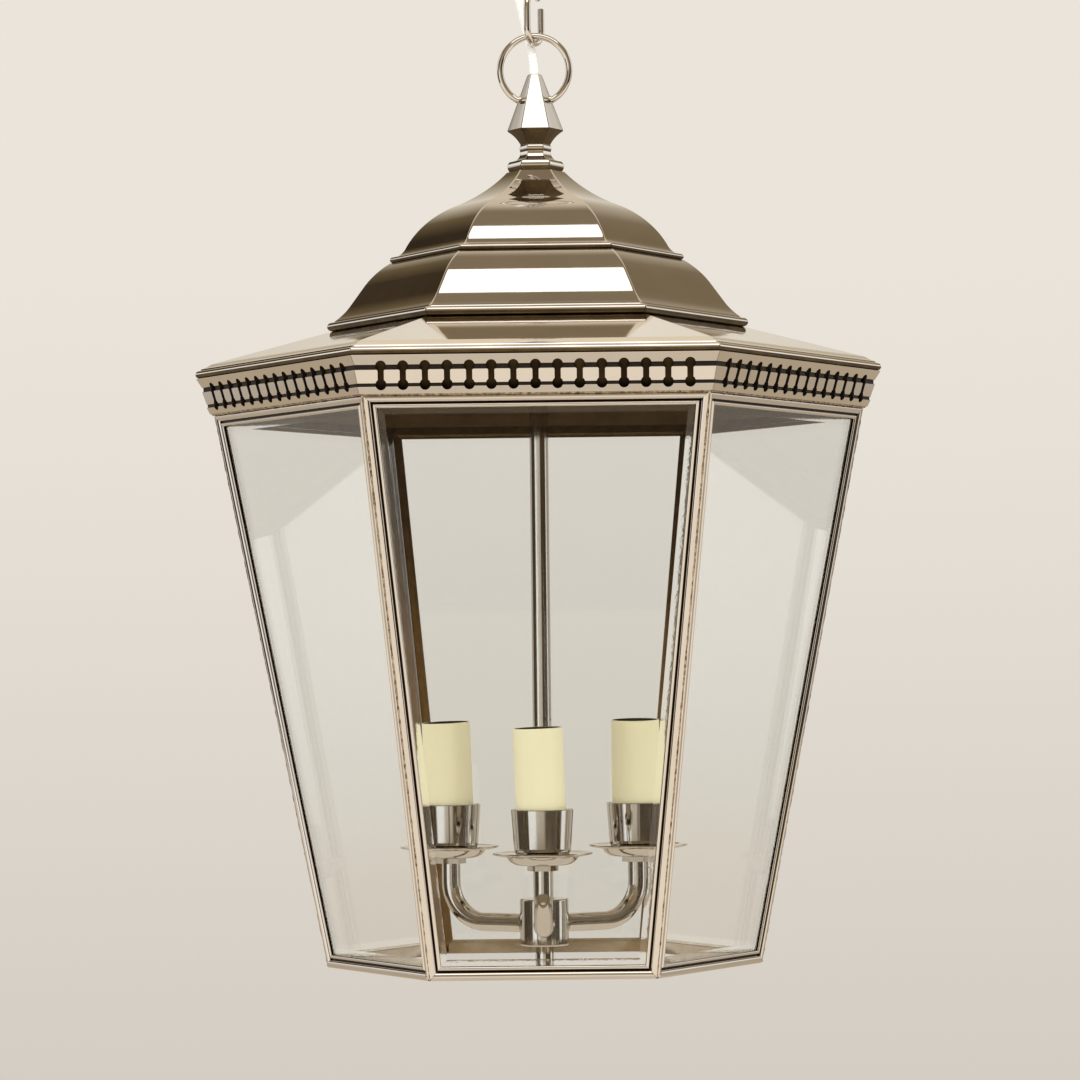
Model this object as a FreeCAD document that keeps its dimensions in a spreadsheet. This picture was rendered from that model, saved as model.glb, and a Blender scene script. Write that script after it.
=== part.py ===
import FreeCAD, Part
import math
import operator
import os

import Sketcher

# Hexagonal hanging porch lantern: a leaning soldered frame with six bevelled panes, a pierced gallery,
# a stepped ogee roof, a cast finial with its hanging ring and open chain link, and three candle lights.
# Millimetres. Heights are counted from the lower edge of the frame, and every piece is then lowered by
# the hanging height, so that the origin is the point of the chain link that rests on its hook.
# One pane faces -Y, and the frame's corners lie at 0, 60, 120 degrees and so on.

SIDES = 6
SIDE_ANGLE = 60
LIGHTS = 3
LIGHT_ANGLE = 120
FIRST_LIGHT_ANGLE = -90
EYE_SIDES = 6
STRAIGHT = 180
RIGHT_ANGLE = 90
# Share of a length by which a cut or a blank runs past the piece
TRIM = 0.1
# Place of the hollow between the finial's flange and neck, as a share of the way in
SCOOP = 0.75
# Run of the bar's section that is the bead
BEAD_RUN = 3

SIZES = {
    # Frame: height, and corner radius of its outer planes at the bottom
    "frame_height": 296.0,
    "foot_radius": 116.6,
    # Moulded bar of the frame, across its face and down into it
    "moulding_width": 7.0,
    "reed_width": 4.0,
    "reed_drop": 1.2,
    "groove_width": 1.0,
    "groove_depth": 1.9,
    "bead_top": 0.6,
    "bead_drop": 0.8,
    "lip_depth": 2.6,
    "glass_overlap": 2.0,
    "seam_depth": 1.0,
    "solder_gap": 0.1,
    # Bevelled panes
    "glass_thickness": 3.0,
    "glass_gap": 0.3,
    "bevel_width": 6.0,
    "bevel_depth": 0.4,
    # Pierced gallery
    "gallery_height": 19.3,
    "gallery_top_radius": 183.4,
    "gallery_overhang": 7.4,
    "gallery_ledge": 1.7,
    "fascia_drop": 4.9,
    "fascia_lean": 2.7,
    "step_height": 2.3,
    "middle_drop": 6.5,
    "middle_lean": 2.2,
    "gallery_wall": 2.2,
    "gallery_foot_inset": 2.6,
    "slot_pitch": 11.0,
    "slot_margin": 8.0,
    "slot_radius": 2.3,
    "slot_low": 4.6,
    "slot_rise": 9.1,
    "liner_wall": 1.0,
    "liner_inset": 4.6,
    # Roof skirt
    "sheet_wall": 1.4,
    "rim_inset": 1.7,
    "rim_height": 4.1,
    "rim_bulge": 2.2,
    "rim_land": 4.4,
    "kink_inset": 6.7,
    "kink_rise": 7.7,
    "seat_rise": 24.5,
    "skirt_overlap": 13.2,
    # Lower roof tier
    "lower_lip_radius": 110.2,
    "lip_height": 4.7,
    "lip_bulge": 2.5,
    "lip_land": 4.0,
    "lower_flare_width": 8.6,
    "lower_flare_rise": 9.0,
    "lower_flare_radius": 35.0,
    "brow_inset": 15.2,
    "brow_rise": 19.4,
    "brow_curve": 43.5,
    "lower_run": 31.2,
    "lower_height": 36.2,
    "lower_flange": 10.0,
    # Upper roof tier
    "upper_lip_inset": 2.0,
    "upper_lip_height": 3.2,
    "upper_lip_bulge": 1.8,
    "upper_lip_land": 4.0,
    "upper_flare_radius": 13.7,
    "hip_inset": 7.0,
    "hip_drop": 38.4,
    "hip_curve": 44.5,
    "shoulder_inset": 26.0,
    "shoulder_drop": 17.8,
    "crown_curve": 66.0,
    "crown_radius": 15.8,
    "upper_height": 47.8,
    # Finial: height and corner radius of its rings, from its seat upwards
    "finial_gap": 0.2,
    "flange_radius": 15.4,
    "flange_height": 5.6,
    "flange_round": 0.9,
    "neck_radius": 8.0,
    "neck_height": 11.4,
    "waist_radius": 8.8,
    "waist_height": 2.6,
    "waist_round": 0.6,
    "belly_radius": 15.2,
    "belly_height": 22.4,
    "tip_radius": 3.8,
    "finial_height": 52.4,
    "finial_socket_depth": 9.0,
    # Hanging ring and chain link
    "ring_wire": 3.5,
    "ring_radius": 18.5,
    "ring_bend": 2.2,
    "pivot_rise": 38.8,
    "pivot_drop": 16.0,
    "pivot_gap": 0.3,
    "ring_end_reach": 4.8,
    "link_wire": 3.5,
    "link_half_width": 7.75,
    "link_leg": 11.0,
    "link_opening": 6.0,
    "link_gap": 0.4,
    "link_turn": 62.0,
    # Clear flex
    "flex_diameter": 5.0,
    "flex_bore_gap": 0.3,
    # Centre rod, hub and crown fixing
    "rod_diameter": 10.0,
    "rod_bore": 7.0,
    "rod_gap": 0.2,
    "washer_radius": 11.0,
    "washer_thickness": 1.6,
    "crown_nut_flats": 17.0,
    "crown_nut_height": 6.0,
    "hub_radius": 13.0,
    "hub_bottom": 10.8,
    "hub_height": 25.0,
    "hub_round": 3.0,
    "hub_edge": 0.75,
    "rod_tail": 7.8,
    "plug_head": 1.8,
    "plug_edge": 0.6,
    "plug_depth": 6.0,
    "plug_dome": 11.0,
    # Candle arms
    "arm_diameter": 10.0,
    "arm_bore": 7.0,
    "arm_level": 22.5,
    "arm_bend": 21.0,
    "arm_reach": 58.0,
    "arm_inset": 4.0,
    "arm_gap": 0.2,
    "arm_end_rise": 9.5,
    "arm_nut_flats": 14.0,
    "arm_nut_height": 2.8,
    # Drip pans, cups, candle tubes and lampholders
    "pan_bottom": 56.5,
    "pan_height": 6.5,
    "pan_foot_radius": 13.0,
    "pan_bowl_radius": 18.8,
    "pan_bowl_rise": 4.3,
    "pan_curve": 7.0,
    "pan_radius": 26.0,
    "pan_wall": 1.0,
    "pan_rim_drop": 0.6,
    "cup_foot_radius": 9.0,
    "cup_bowl_play": 1.8,
    "cup_bowl_rise": 6.6,
    "cup_flare": 3.3,
    "cup_height": 27.8,
    "cup_wall": 1.0,
    "seat_gap": 0.2,
    "candle_radius": 13.0,
    "candle_wall": 1.2,
    "candle_top": 127.8,
    "candle_foot_rise": 6.8,
    "holder_foot_radius": 7.6,
    "holder_foot_height": 12.0,
    "holder_stem_radius": 6.4,
    "holder_gap": 0.3,
    "holder_drop": 1.6,
    "holder_head_height": 34.0,
    "socket_radius": 6.95,
    "socket_depth": 22.0,
}

OPERATIONS = {"+": operator.add, "-": operator.sub, "*": operator.mul, "/": operator.truediv}

doc = FreeCAD.newDocument("PorchLantern")
sheet = doc.addObject("Spreadsheet::Sheet", "Dims")
formulas = doc.addObject("Spreadsheet::Sheet", "Derived")
sub_parts = []


class Size:
    """A number together with the sheet expression that it comes from."""

    def __init__(self, value, text):
        self.value = float(value)
        self.text = text

    def __add__(self, other):
        return combine(self, "+", other)

    def __radd__(self, other):
        return combine(other, "+", self)

    def __sub__(self, other):
        return combine(self, "-", other)

    def __rsub__(self, other):
        return combine(other, "-", self)

    def __mul__(self, other):
        return combine(self, "*", other)

    def __rmul__(self, other):
        return combine(other, "*", self)

    def __truediv__(self, other):
        return combine(self, "/", other)

    def __rtruediv__(self, other):
        return combine(other, "/", self)

    def __neg__(self):
        return combine(0.0, "-", self)


def as_size(number):
    if isinstance(number, Size):
        return number
    return Size(number, "(%.9f)" % number)


def combine(left, sign, right):
    left = as_size(left)
    right = as_size(right)
    return Size(OPERATIONS[sign](left.value, right.value), "(%s %s %s)" % (left.text, sign, right.text))


def sine(degrees):
    degrees = as_size(degrees)
    return Size(math.sin(math.radians(degrees.value)), "sin(%s)" % degrees.text)


def cosine(degrees):
    degrees = as_size(degrees)
    return Size(math.cos(math.radians(degrees.value)), "cos(%s)" % degrees.text)


def tangent(degrees):
    degrees = as_size(degrees)
    return Size(math.tan(math.radians(degrees.value)), "tan(%s)" % degrees.text)


def angle_of_tangent(ratio):
    return Size(math.degrees(math.atan(ratio.value)), "(atan(%s) / 1 deg)" % ratio.text)


def angle_of_cosine(ratio):
    return Size(math.degrees(math.acos(ratio.value)), "(acos(%s) / 1 deg)" % ratio.text)


def root(number):
    return Size(math.sqrt(number.value), "sqrt(%s)" % number.text)


def whole(number):
    return Size(math.floor(number.value), "floor(%s)" % number.text)


def arc_radius(chord, rise):
    """Radius of an arc with this chord and this rise at its middle."""
    return (chord * chord / 4 + rise * rise) / (2 * rise)


def dimension(name):
    """One driving dimension of the sheet."""
    return Size(sheet.get(name), "Dims." + name)


def derived(name, size):
    """A worked-out dimension, kept as a formula in its own cell."""
    cell = "B%d" % (len(derived_names) + 1)
    formulas.set(cell, "=" + size.text)
    formulas.setAlias(cell, name)
    derived_names.append(name)
    return Size(size.value, "Derived." + name)


derived_names = []
for row, (alias, number) in enumerate(SIZES.items(), start=1):
    sheet.set("A%d" % row, alias)
    sheet.set("B%d" % row, str(number))
    sheet.setAlias("B%d" % row, alias)
doc.recompute()
D = {alias: dimension(alias) for alias in SIZES}

# Corner radii that follow from the widest one and from the lower tier's lip
gallery_foot_radius = derived("gallery_foot_radius", D["gallery_top_radius"] - D["gallery_overhang"])
shoulder_radius = derived("shoulder_radius", gallery_foot_radius - D["gallery_ledge"])
rim_radius = derived("rim_radius", D["gallery_top_radius"] - D["rim_inset"])
kink_radius = derived("kink_radius", rim_radius - D["kink_inset"])
skirt_bore_radius = derived("skirt_bore_radius", D["lower_lip_radius"] - D["skirt_overlap"])
lower_top_radius = derived("lower_top_radius", D["lower_lip_radius"] - D["lower_run"])
upper_lip_radius = derived("upper_lip_radius", lower_top_radius - D["upper_lip_inset"])
hip_radius = derived("hip_radius", upper_lip_radius - D["hip_inset"])
shoulder_curve_radius = derived("shoulder_curve_radius", hip_radius - D["shoulder_inset"])
cup_bowl_radius = derived("cup_bowl_radius", D["candle_radius"] + D["cup_bowl_play"])
cup_radius = derived("cup_radius", D["candle_radius"] + D["cup_flare"])

# Derived geometry of the leaning frame
FLAT = math.cos(math.radians(SIDE_ANGLE / 2))
TURN = math.tan(math.radians(SIDE_ANGLE / 2))
spread = shoulder_radius - D["foot_radius"]
foot_apothem = derived("foot_apothem", D["foot_radius"] * FLAT)
shoulder_apothem = derived("shoulder_apothem", shoulder_radius * FLAT)
pane_lean = derived("pane_lean", angle_of_tangent(spread * FLAT / D["frame_height"]))
corner_lean = derived("corner_lean", angle_of_tangent(spread / D["frame_height"]))
slope_height = derived("slope_height", D["frame_height"] / cosine(pane_lean))
corner_length = derived("corner_length", D["frame_height"] / cosine(corner_lean))
side_slant = derived("side_slant", angle_of_tangent(spread / 2 / slope_height))
top_mitre = derived("top_mitre", tangent((RIGHT_ANGLE - side_slant) / 2))
foot_mitre = derived("foot_mitre", tangent((RIGHT_ANGLE + side_slant) / 2))
level_part = cosine(pane_lean) * cosine(pane_lean) * math.cos(math.radians(SIDE_ANGLE))
normals_cosine = level_part + sine(pane_lean) * sine(pane_lean)
half_dihedral = derived("half_dihedral", RIGHT_ANGLE - angle_of_cosine(normals_cosine) / 2)
rebate_edge = derived("rebate_edge", D["moulding_width"] - D["glass_overlap"])
bar_depth = derived("bar_depth", D["lip_depth"] + D["glass_gap"] + D["glass_thickness"])
reed_radius = derived("reed_radius", arc_radius(D["reed_width"], D["reed_drop"]))
bead_width = D["moulding_width"] - D["reed_width"] - D["groove_width"]
bead_radius = derived("bead_radius", arc_radius(bead_width, D["bead_drop"]))
slot_room = gallery_foot_radius - 2 * D["slot_margin"]
slot_count = derived("slot_count", whole(slot_room / D["slot_pitch"]) + 1)

# Derived heights
gallery_top = derived("gallery_top", D["frame_height"] + D["gallery_height"])
skirt_foot = derived("skirt_foot", gallery_top + D["solder_gap"])
kink_level = derived("kink_level", gallery_top + D["kink_rise"])
seat_level = derived("seat_level", gallery_top + D["seat_rise"])
skirt_fall = derived("skirt_fall", (seat_level - kink_level) / (kink_radius - D["lower_lip_radius"]) / FLAT)
lower_top = derived("lower_top", seat_level + D["lower_height"])
upper_foot = derived("upper_foot", lower_top + D["solder_gap"])
upper_top = derived("upper_top", upper_foot + D["upper_height"])
finial_foot = derived("finial_foot", upper_top + D["finial_gap"])
finial_tip = derived("finial_tip", finial_foot + D["finial_height"])
pivot_level = derived("pivot_level", finial_foot + D["pivot_rise"])
ring_level = derived("ring_level", pivot_level + D["pivot_drop"])
wire_reach = (D["ring_wire"] + D["link_wire"]) / 2
link_foot = derived("link_foot", ring_level + D["ring_radius"] - wire_reach - D["link_gap"])
link_pitch = derived("link_pitch", D["link_leg"] + 2 * D["link_half_width"])
hang_height = derived("hang_height", link_foot + link_pitch - D["link_wire"] / 2)
rod_foot = derived("rod_foot", D["hub_bottom"] - D["rod_tail"])
cup_foot = derived("cup_foot", D["pan_bottom"] + D["pan_wall"] + D["seat_gap"])
doc.recompute()


def plane_of(body, role):
    return next(item for item in body.Origin.OriginFeatures if item.Role == role)


def upright_axis(body):
    return plane_of(body, "Z_Axis")


def new_body(label):
    body = doc.addObject("PartDesign::Body", label)
    body.Label = label
    sub_parts.append(body)
    return body


def new_sketch(body, name, role, offset=None):
    """A sketch on one of the body's own planes, moved by an optional placement expression."""
    sketch = body.newObject("Sketcher::SketchObject", name)
    sketch.AttachmentSupport = [(plane_of(body, role), "")]
    sketch.MapMode = "FlatFace"
    if offset:
        sketch.setExpression("AttachmentOffset", offset)
    return sketch


def placement_text(x, y, z, *turns):
    """A placement expression: an offset, then turns as pairs of axis letter and angle."""
    axes = {"x": "vector(1; 0; 0)", "y": "vector(0; 1; 0)", "z": "vector(0; 0; 1)"}
    spins = ["rotation(%s; %s)" % (axes[axis], as_size(turn).text) for axis, turn in turns]
    spin = " * ".join(spins) or "rotation(vector(0; 0; 1); 0)"
    base = "; ".join(as_size(value).text for value in (x, y, z))
    return "placement(vector(%s); %s)" % (base, spin)


def tie(sketch, kind, geometry, point, size):
    """Fix one coordinate of a point, bound to its sheet expression."""
    size = as_size(size)
    index = sketch.addConstraint(Sketcher.Constraint(kind, -1, 1, geometry, point, size.value))
    if "Dims" in size.text or "Derived" in size.text:
        sketch.setExpression("Constraints[%d]" % index, size.text)


def arc_between(start, end, radius):
    """The short arc from start to end. A positive radius turns left on the way, a negative one right."""
    chord = end - start
    half = chord.Length / 2
    across = FreeCAD.Vector(-chord.y, chord.x, 0).normalize()
    reach = math.sqrt(radius * radius - half * half)
    centre = (start + end) / 2 + across * math.copysign(reach, radius)
    first, last = (start, end) if radius > 0 else (end, start)
    angles = [math.atan2(point.y - centre.y, point.x - centre.x) for point in (first, last)]
    circle = Part.Circle(centre, FreeCAD.Vector(0, 0, 1), abs(radius))
    return Part.ArcOfCircle(circle, angles[0], angles[1])


def add_outline(sketch, points, arcs=None, closed=True):
    """Straight runs and arcs through points whose coordinates are bound to the sheet."""
    arcs = arcs or {}
    points = [(as_size(x), as_size(y)) for x, y in points]
    spots = [FreeCAD.Vector(x.value, y.value, 0) for x, y in points]
    count = len(points)
    runs = []
    for index in range(count if closed else count - 1):
        start = spots[index]
        end = spots[(index + 1) % count]
        if index in arcs:
            radius = as_size(arcs[index])
            geometry = sketch.addGeometry(arc_between(start, end, radius.value))
            runs.append((geometry, 1, 2) if radius.value > 0 else (geometry, 2, 1))
        else:
            runs.append((sketch.addGeometry(Part.LineSegment(start, end)), 1, 2))
    for index in range(len(runs) if closed else len(runs) - 1):
        geometry, first, last = runs[index]
        following, opening, closing = runs[(index + 1) % len(runs)]
        sketch.addConstraint(Sketcher.Constraint("Coincident", geometry, last, following, opening))
    for index, (x, y) in enumerate(points):
        if index < len(runs):
            geometry, spot, other = runs[index]
        else:
            geometry, other, spot = runs[-1]
        tie(sketch, "DistanceX", geometry, spot, x)
        tie(sketch, "DistanceY", geometry, spot, y)
    for index, radius in arcs.items():
        geometry = runs[index][0]
        size = as_size(radius)
        if size.value < 0:
            size = -size
        number = sketch.addConstraint(Sketcher.Constraint("Radius", geometry, size.value))
        sketch.setExpression("Constraints[%d]" % number, size.text)
    return sketch


def add_circle(sketch, x, y, radius):
    x, y, radius = (as_size(value) for value in (x, y, radius))
    circle = Part.Circle(FreeCAD.Vector(x.value, y.value, 0), FreeCAD.Vector(0, 0, 1), radius.value)
    geometry = sketch.addGeometry(circle)
    tie(sketch, "DistanceX", geometry, 3, x)
    tie(sketch, "DistanceY", geometry, 3, y)
    number = sketch.addConstraint(Sketcher.Constraint("Radius", geometry, radius.value))
    sketch.setExpression("Constraints[%d]" % number, radius.text)
    return sketch


def hexagon_points(corner_radius):
    turns = [SIDE_ANGLE * side for side in range(SIDES)]
    return [(corner_radius * math.cos(math.radians(turn)), corner_radius * math.sin(math.radians(turn)))
            for turn in turns]


def mirrored(points):
    return [(-x, y) for x, y in reversed(points)]


def add_pad(body, name, sketch, length, symmetric=False):
    pad = body.newObject("PartDesign::Pad", name)
    pad.Profile = sketch
    pad.Midplane = symmetric
    pad.setExpression("Length", as_size(length).text)
    return pad


def add_cut(body, name, sketch):
    """A cut right through, to both sides of its sketch."""
    pocket = body.newObject("PartDesign::Pocket", name)
    pocket.Profile = sketch
    pocket.Type = "ThroughAll"
    pocket.Midplane = True
    return pocket


def add_blind_cut(body, name, sketch, depth, reverse=False):
    pocket = body.newObject("PartDesign::Pocket", name)
    pocket.Profile = sketch
    pocket.Reversed = reverse
    pocket.setExpression("Length", as_size(depth).text)
    return pocket


def add_turning(body, points, arcs=None):
    """A turned solid from its half section of radius and height."""
    sketch = add_outline(new_sketch(body, "HalfSection", "XZ_Plane"), points, arcs)
    turning = body.newObject("PartDesign::Revolution", "Turning")
    turning.Profile = sketch
    turning.ReferenceAxis = (sketch, ["V_Axis"])
    turning.Angle = 360
    return turning


def add_sweep(body, profile, path):
    sweep = body.newObject("PartDesign::AdditivePipe", "Sweep")
    sweep.Profile = profile
    sweep.Spine = (path, [])
    sweep.Transition = "Right corner"
    return sweep


def add_hexagon_sweep(body, points, arcs, path_apothem):
    """A section of apothem and height carried round the hexagon with mitred corners."""
    path = new_sketch(body, "HexagonPath", "XY_Plane")
    corners = hexagon_points(as_size(path_apothem) / FLAT)
    start = (0, as_size(path_apothem))
    add_outline(path, [start] + corners[2:] + corners[:2])
    profile = add_outline(new_sketch(body, "Section", "YZ_Plane"), points, arcs)
    return add_sweep(body, profile, path)


def stand_on_axis(body, turn=0):
    body.setExpression("Placement", placement_text(0, 0, -hang_height, ("z", turn)))


def stand_on_side(body, side):
    """Lay a piece in the leaning plane of one side: X along it, Y up the slope and Z outwards."""
    turn = SIDE_ANGLE * side
    x = foot_apothem * math.sin(math.radians(turn))
    y = foot_apothem * -math.cos(math.radians(turn))
    lean = RIGHT_ANGLE + pane_lean
    body.setExpression("Placement", placement_text(x, y, -hang_height, ("z", turn), ("x", lean)))


def stand_at_light(body, light):
    turn = FIRST_LIGHT_ANGLE + LIGHT_ANGLE * light
    x = D["arm_reach"] * math.cos(math.radians(turn))
    y = D["arm_reach"] * math.sin(math.radians(turn))
    body.setExpression("Placement", placement_text(x, y, -hang_height, ("z", turn)))


def face_section():
    """Reed, groove and bead of a frame bar, from its outer edge to its lip: width and depth."""
    groove_end = D["reed_width"] + D["groove_width"]
    bead_foot = D["bead_top"] + D["bead_drop"]
    return [
        (D["reed_width"], D["reed_drop"]),
        (D["reed_width"], D["groove_depth"]),
        (groove_end, D["groove_depth"]),
        (groove_end, bead_foot),
        (D["moulding_width"], bead_foot),
        (D["moulding_width"], D["lip_depth"]),
    ]


def make_corner_post(corner):
    """Hollow V-shaped bar along one corner of the frame, mitred to the rails at both ends."""
    body = new_body("corner_post_%d" % (corner + 1))
    inward = cosine(half_dihedral)
    along = sine(half_dihedral)
    half = [(-(width * inward) - depth * along, width * along - depth * inward)
            for width, depth in face_section()]
    other_half = [(x, -y) for x, y in reversed(half)]
    inner_corner = (-D["lip_depth"] / along, 0)
    points = [(-D["seam_depth"], 0)] + half + [inner_corner] + other_half
    last = len(points) - 1
    arcs = {
        0: reed_radius,
        1 + BEAD_RUN: bead_radius,
        last - 1 - BEAD_RUN: bead_radius,
        last: reed_radius,
    }
    section = new_sketch(body, "Section", "XY_Plane")
    add_outline(section, points, arcs)
    add_pad(body, "Bar", section, corner_length)
    reach = D["moulding_width"] * 2
    top = [(0, corner_length), (reach, corner_length - reach / top_mitre), (reach, corner_length + reach),
           (0, corner_length + reach)]
    foot = [(0, 0), (0, -reach), (reach, -reach), (reach, reach / foot_mitre)]
    for name, turn in (("LeftMitres", STRAIGHT - half_dihedral), ("RightMitres", half_dihedral - STRAIGHT)):
        mitres = new_sketch(body, name, "XZ_Plane", placement_text(0, 0, 0, ("y", turn)))
        add_outline(mitres, top)
        add_outline(mitres, foot)
        add_cut(body, name + "Cut", mitres)
    turn = SIDE_ANGLE * corner
    x = D["foot_radius"] * math.cos(math.radians(turn))
    y = D["foot_radius"] * math.sin(math.radians(turn))
    body.setExpression("Placement", placement_text(x, y, -hang_height, ("z", turn), ("y", corner_lean)))


def make_rail(label, side, level, direction, half_length, mitre):
    """Moulded bar between two posts. Its width runs up or down the slope from its outer edge."""
    body = new_body(label)
    level_fall = tangent(pane_lean) * -direction
    outer_edge = (D["reed_drop"] * level_fall, D["reed_drop"])
    back_edge = (bar_depth * level_fall, bar_depth)
    rebate = [(rebate_edge, D["lip_depth"]), (rebate_edge, bar_depth)]
    widths = [outer_edge] + face_section() + rebate + [back_edge]
    points = [(level + direction * width, -depth) for width, depth in widths]
    arcs = {0: reed_radius * -direction, 1 + BEAD_RUN: bead_radius * -direction}
    section = add_outline(new_sketch(body, "Section", "YZ_Plane"), points, arcs)
    add_pad(body, "Bar", section, half_length * 2 + D["moulding_width"], symmetric=True)
    reach = D["moulding_width"] * 2
    end = half_length - D["solder_gap"]
    near, far = (level - direction * reach, level + direction * reach)
    beyond = end + reach * 2
    waste = [(end + reach / mitre, near), (end - reach / mitre, far), (beyond, far), (beyond, near)]
    mitres = new_sketch(body, "Mitres", "XY_Plane")
    add_outline(mitres, waste)
    add_outline(mitres, mirrored(waste))
    add_cut(body, "MitreCuts", mitres)
    inner = end - D["moulding_width"] * tangent(side_slant)
    depth = bar_depth * 2
    back_inner = inner - depth / tangent(half_dihedral)
    waste = [(inner, 0), (back_inner, -depth), (inner + reach, -depth), (inner + reach, 0)]
    backs = new_sketch(body, "BackMitres", "XZ_Plane")
    add_outline(backs, waste)
    add_outline(backs, mirrored(waste))
    add_cut(body, "BackMitreCuts", backs)
    stand_on_side(body, side)


def pane_corners(inset):
    """Corners of the pane in the leaning plane, set in from the frame's outer edges."""
    top = shoulder_radius / 2 - inset / top_mitre
    foot = D["foot_radius"] / 2 - inset / foot_mitre
    return [(-foot, inset), (foot, inset), (top, slope_height - inset), (-top, slope_height - inset)]


def make_glass_pane(side):
    """Flat pane with a shallow bevel ground round its outer face."""
    body = new_body("glass_pane_%d" % (side + 1))
    back = -bar_depth
    edge = rebate_edge + D["glass_gap"]
    slab = D["glass_thickness"] - D["bevel_depth"]
    sketch = new_sketch(body, "Pane", "XY_Plane", placement_text(0, 0, back))
    add_outline(sketch, pane_corners(edge))
    add_pad(body, "Slab", sketch, slab)
    bevel_foot = new_sketch(body, "BevelFoot", "XY_Plane", placement_text(0, 0, back + slab))
    add_outline(bevel_foot, pane_corners(edge))
    bevel_top = new_sketch(body, "BevelTop", "XY_Plane", placement_text(0, 0, back + D["glass_thickness"]))
    add_outline(bevel_top, pane_corners(edge + D["bevel_width"]))
    bevel = body.newObject("PartDesign::AdditiveLoft", "Bevel")
    bevel.Profile = bevel_foot
    bevel.Sections = [bevel_top]
    bevel.Ruled = True
    stand_on_side(body, side)


def slot_outline(x, low, high):
    """Dog-bone slot: two six-sided eyes, one above the other, joined by a neck as wide as one side."""
    steps = [2 * STRAIGHT / EYE_SIDES * (step + 0.5) for step in range(EYE_SIDES)]
    upper = [(x + D["slot_radius"] * math.sin(math.radians(turn)),
              high - D["slot_radius"] * math.cos(math.radians(turn))) for turn in steps]
    lower = [(x - D["slot_radius"] * math.sin(math.radians(turn)),
              low + D["slot_radius"] * math.cos(math.radians(turn))) for turn in steps]
    return upper + lower


def make_gallery_strip(side):
    """Leaning stepped strip, pierced with a row of dog-bone slots."""
    body = new_body("gallery_strip_%d" % (side + 1))
    foot = D["frame_height"] + D["solder_gap"]
    top = D["gallery_top_radius"] * FLAT
    fascia_foot = gallery_top - D["fascia_drop"]
    middle_top = fascia_foot - D["step_height"]
    middle_foot = middle_top - D["middle_drop"]
    lower_step = middle_foot - D["step_height"]
    middle_out = top - D["fascia_lean"]
    lower_out = middle_out - D["middle_lean"]
    profile = [
        (top - D["gallery_wall"], gallery_top),
        (top, gallery_top),
        (middle_out, fascia_foot),
        (middle_out, middle_top),
        (lower_out, middle_foot),
        (lower_out, lower_step),
        (gallery_foot_radius * FLAT, foot),
        (shoulder_apothem - D["gallery_foot_inset"], foot),
    ]
    section = new_sketch(body, "Section", "YZ_Plane")
    add_outline(section, [(-as_size(out), height) for out, height in profile])
    add_pad(body, "Strip", section, D["gallery_top_radius"] * (1 + TRIM), symmetric=True)
    near = shoulder_apothem * (1 - TRIM)
    far = top * (1 + TRIM)
    gap = D["solder_gap"]
    waste = [(near * TURN - gap, -near), (far * TURN - gap, -far), (far * TURN + near, -far),
             (far * TURN + near, -near)]
    mitres = new_sketch(body, "Mitres", "XY_Plane")
    add_outline(mitres, waste)
    add_outline(mitres, mirrored(waste))
    add_cut(body, "MitreCuts", mitres)
    row_length = D["slot_pitch"] * (slot_count - 1)
    low = D["frame_height"] + D["slot_low"]
    slot = new_sketch(body, "Slot", "XZ_Plane")
    add_outline(slot, slot_outline(-row_length / 2, low, low + D["slot_rise"]))
    pierced = add_cut(body, "SlotCut", slot)
    row = body.newObject("PartDesign::LinearPattern", "SlotRow")
    row.Originals = [pierced]
    row.Direction = (slot, ["H_Axis"])
    row.setExpression("Length", row_length.text)
    row.setExpression("Occurrences", slot_count.text)
    body.Tip = row
    stand_on_axis(body, SIDE_ANGLE * side)


def make_gallery_liner():
    """Plain band behind the pierced strips, standing on the top rails."""
    body = new_body("gallery_liner")
    foot = shoulder_apothem - D["liner_inset"]
    lean = D["gallery_overhang"] * FLAT
    low = D["frame_height"] + D["solder_gap"]
    points = [(foot - D["liner_wall"], low), (foot, low), (foot + lean, gallery_top),
              (foot + lean - D["liner_wall"], gallery_top)]
    add_hexagon_sweep(body, points, {}, foot)
    stand_on_axis(body)


def skirt_height(apothem):
    """Height of the skirt's upper face at a distance from the axis."""
    return kink_level + (kink_radius * FLAT - apothem) * skirt_fall


def make_roof_skirt():
    """Shallow hexagonal eaves with a bevelled edge and a rounded rim."""
    body = new_body("roof_skirt")
    bore = skirt_bore_radius * FLAT
    kink = kink_radius * FLAT
    rim = rim_radius * FLAT
    wall = D["sheet_wall"]
    inner_kink = kink - wall
    points = [
        (bore, skirt_height(bore) - wall),
        (inner_kink, skirt_height(inner_kink) - wall),
        (rim - D["rim_land"], skirt_foot),
        (rim, skirt_foot),
        (rim, skirt_foot + D["rim_height"]),
        (kink, kink_level),
        (bore, skirt_height(bore)),
    ]
    add_hexagon_sweep(body, points, {3: arc_radius(D["rim_height"], D["rim_bulge"])}, kink)
    stand_on_axis(body)


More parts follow.
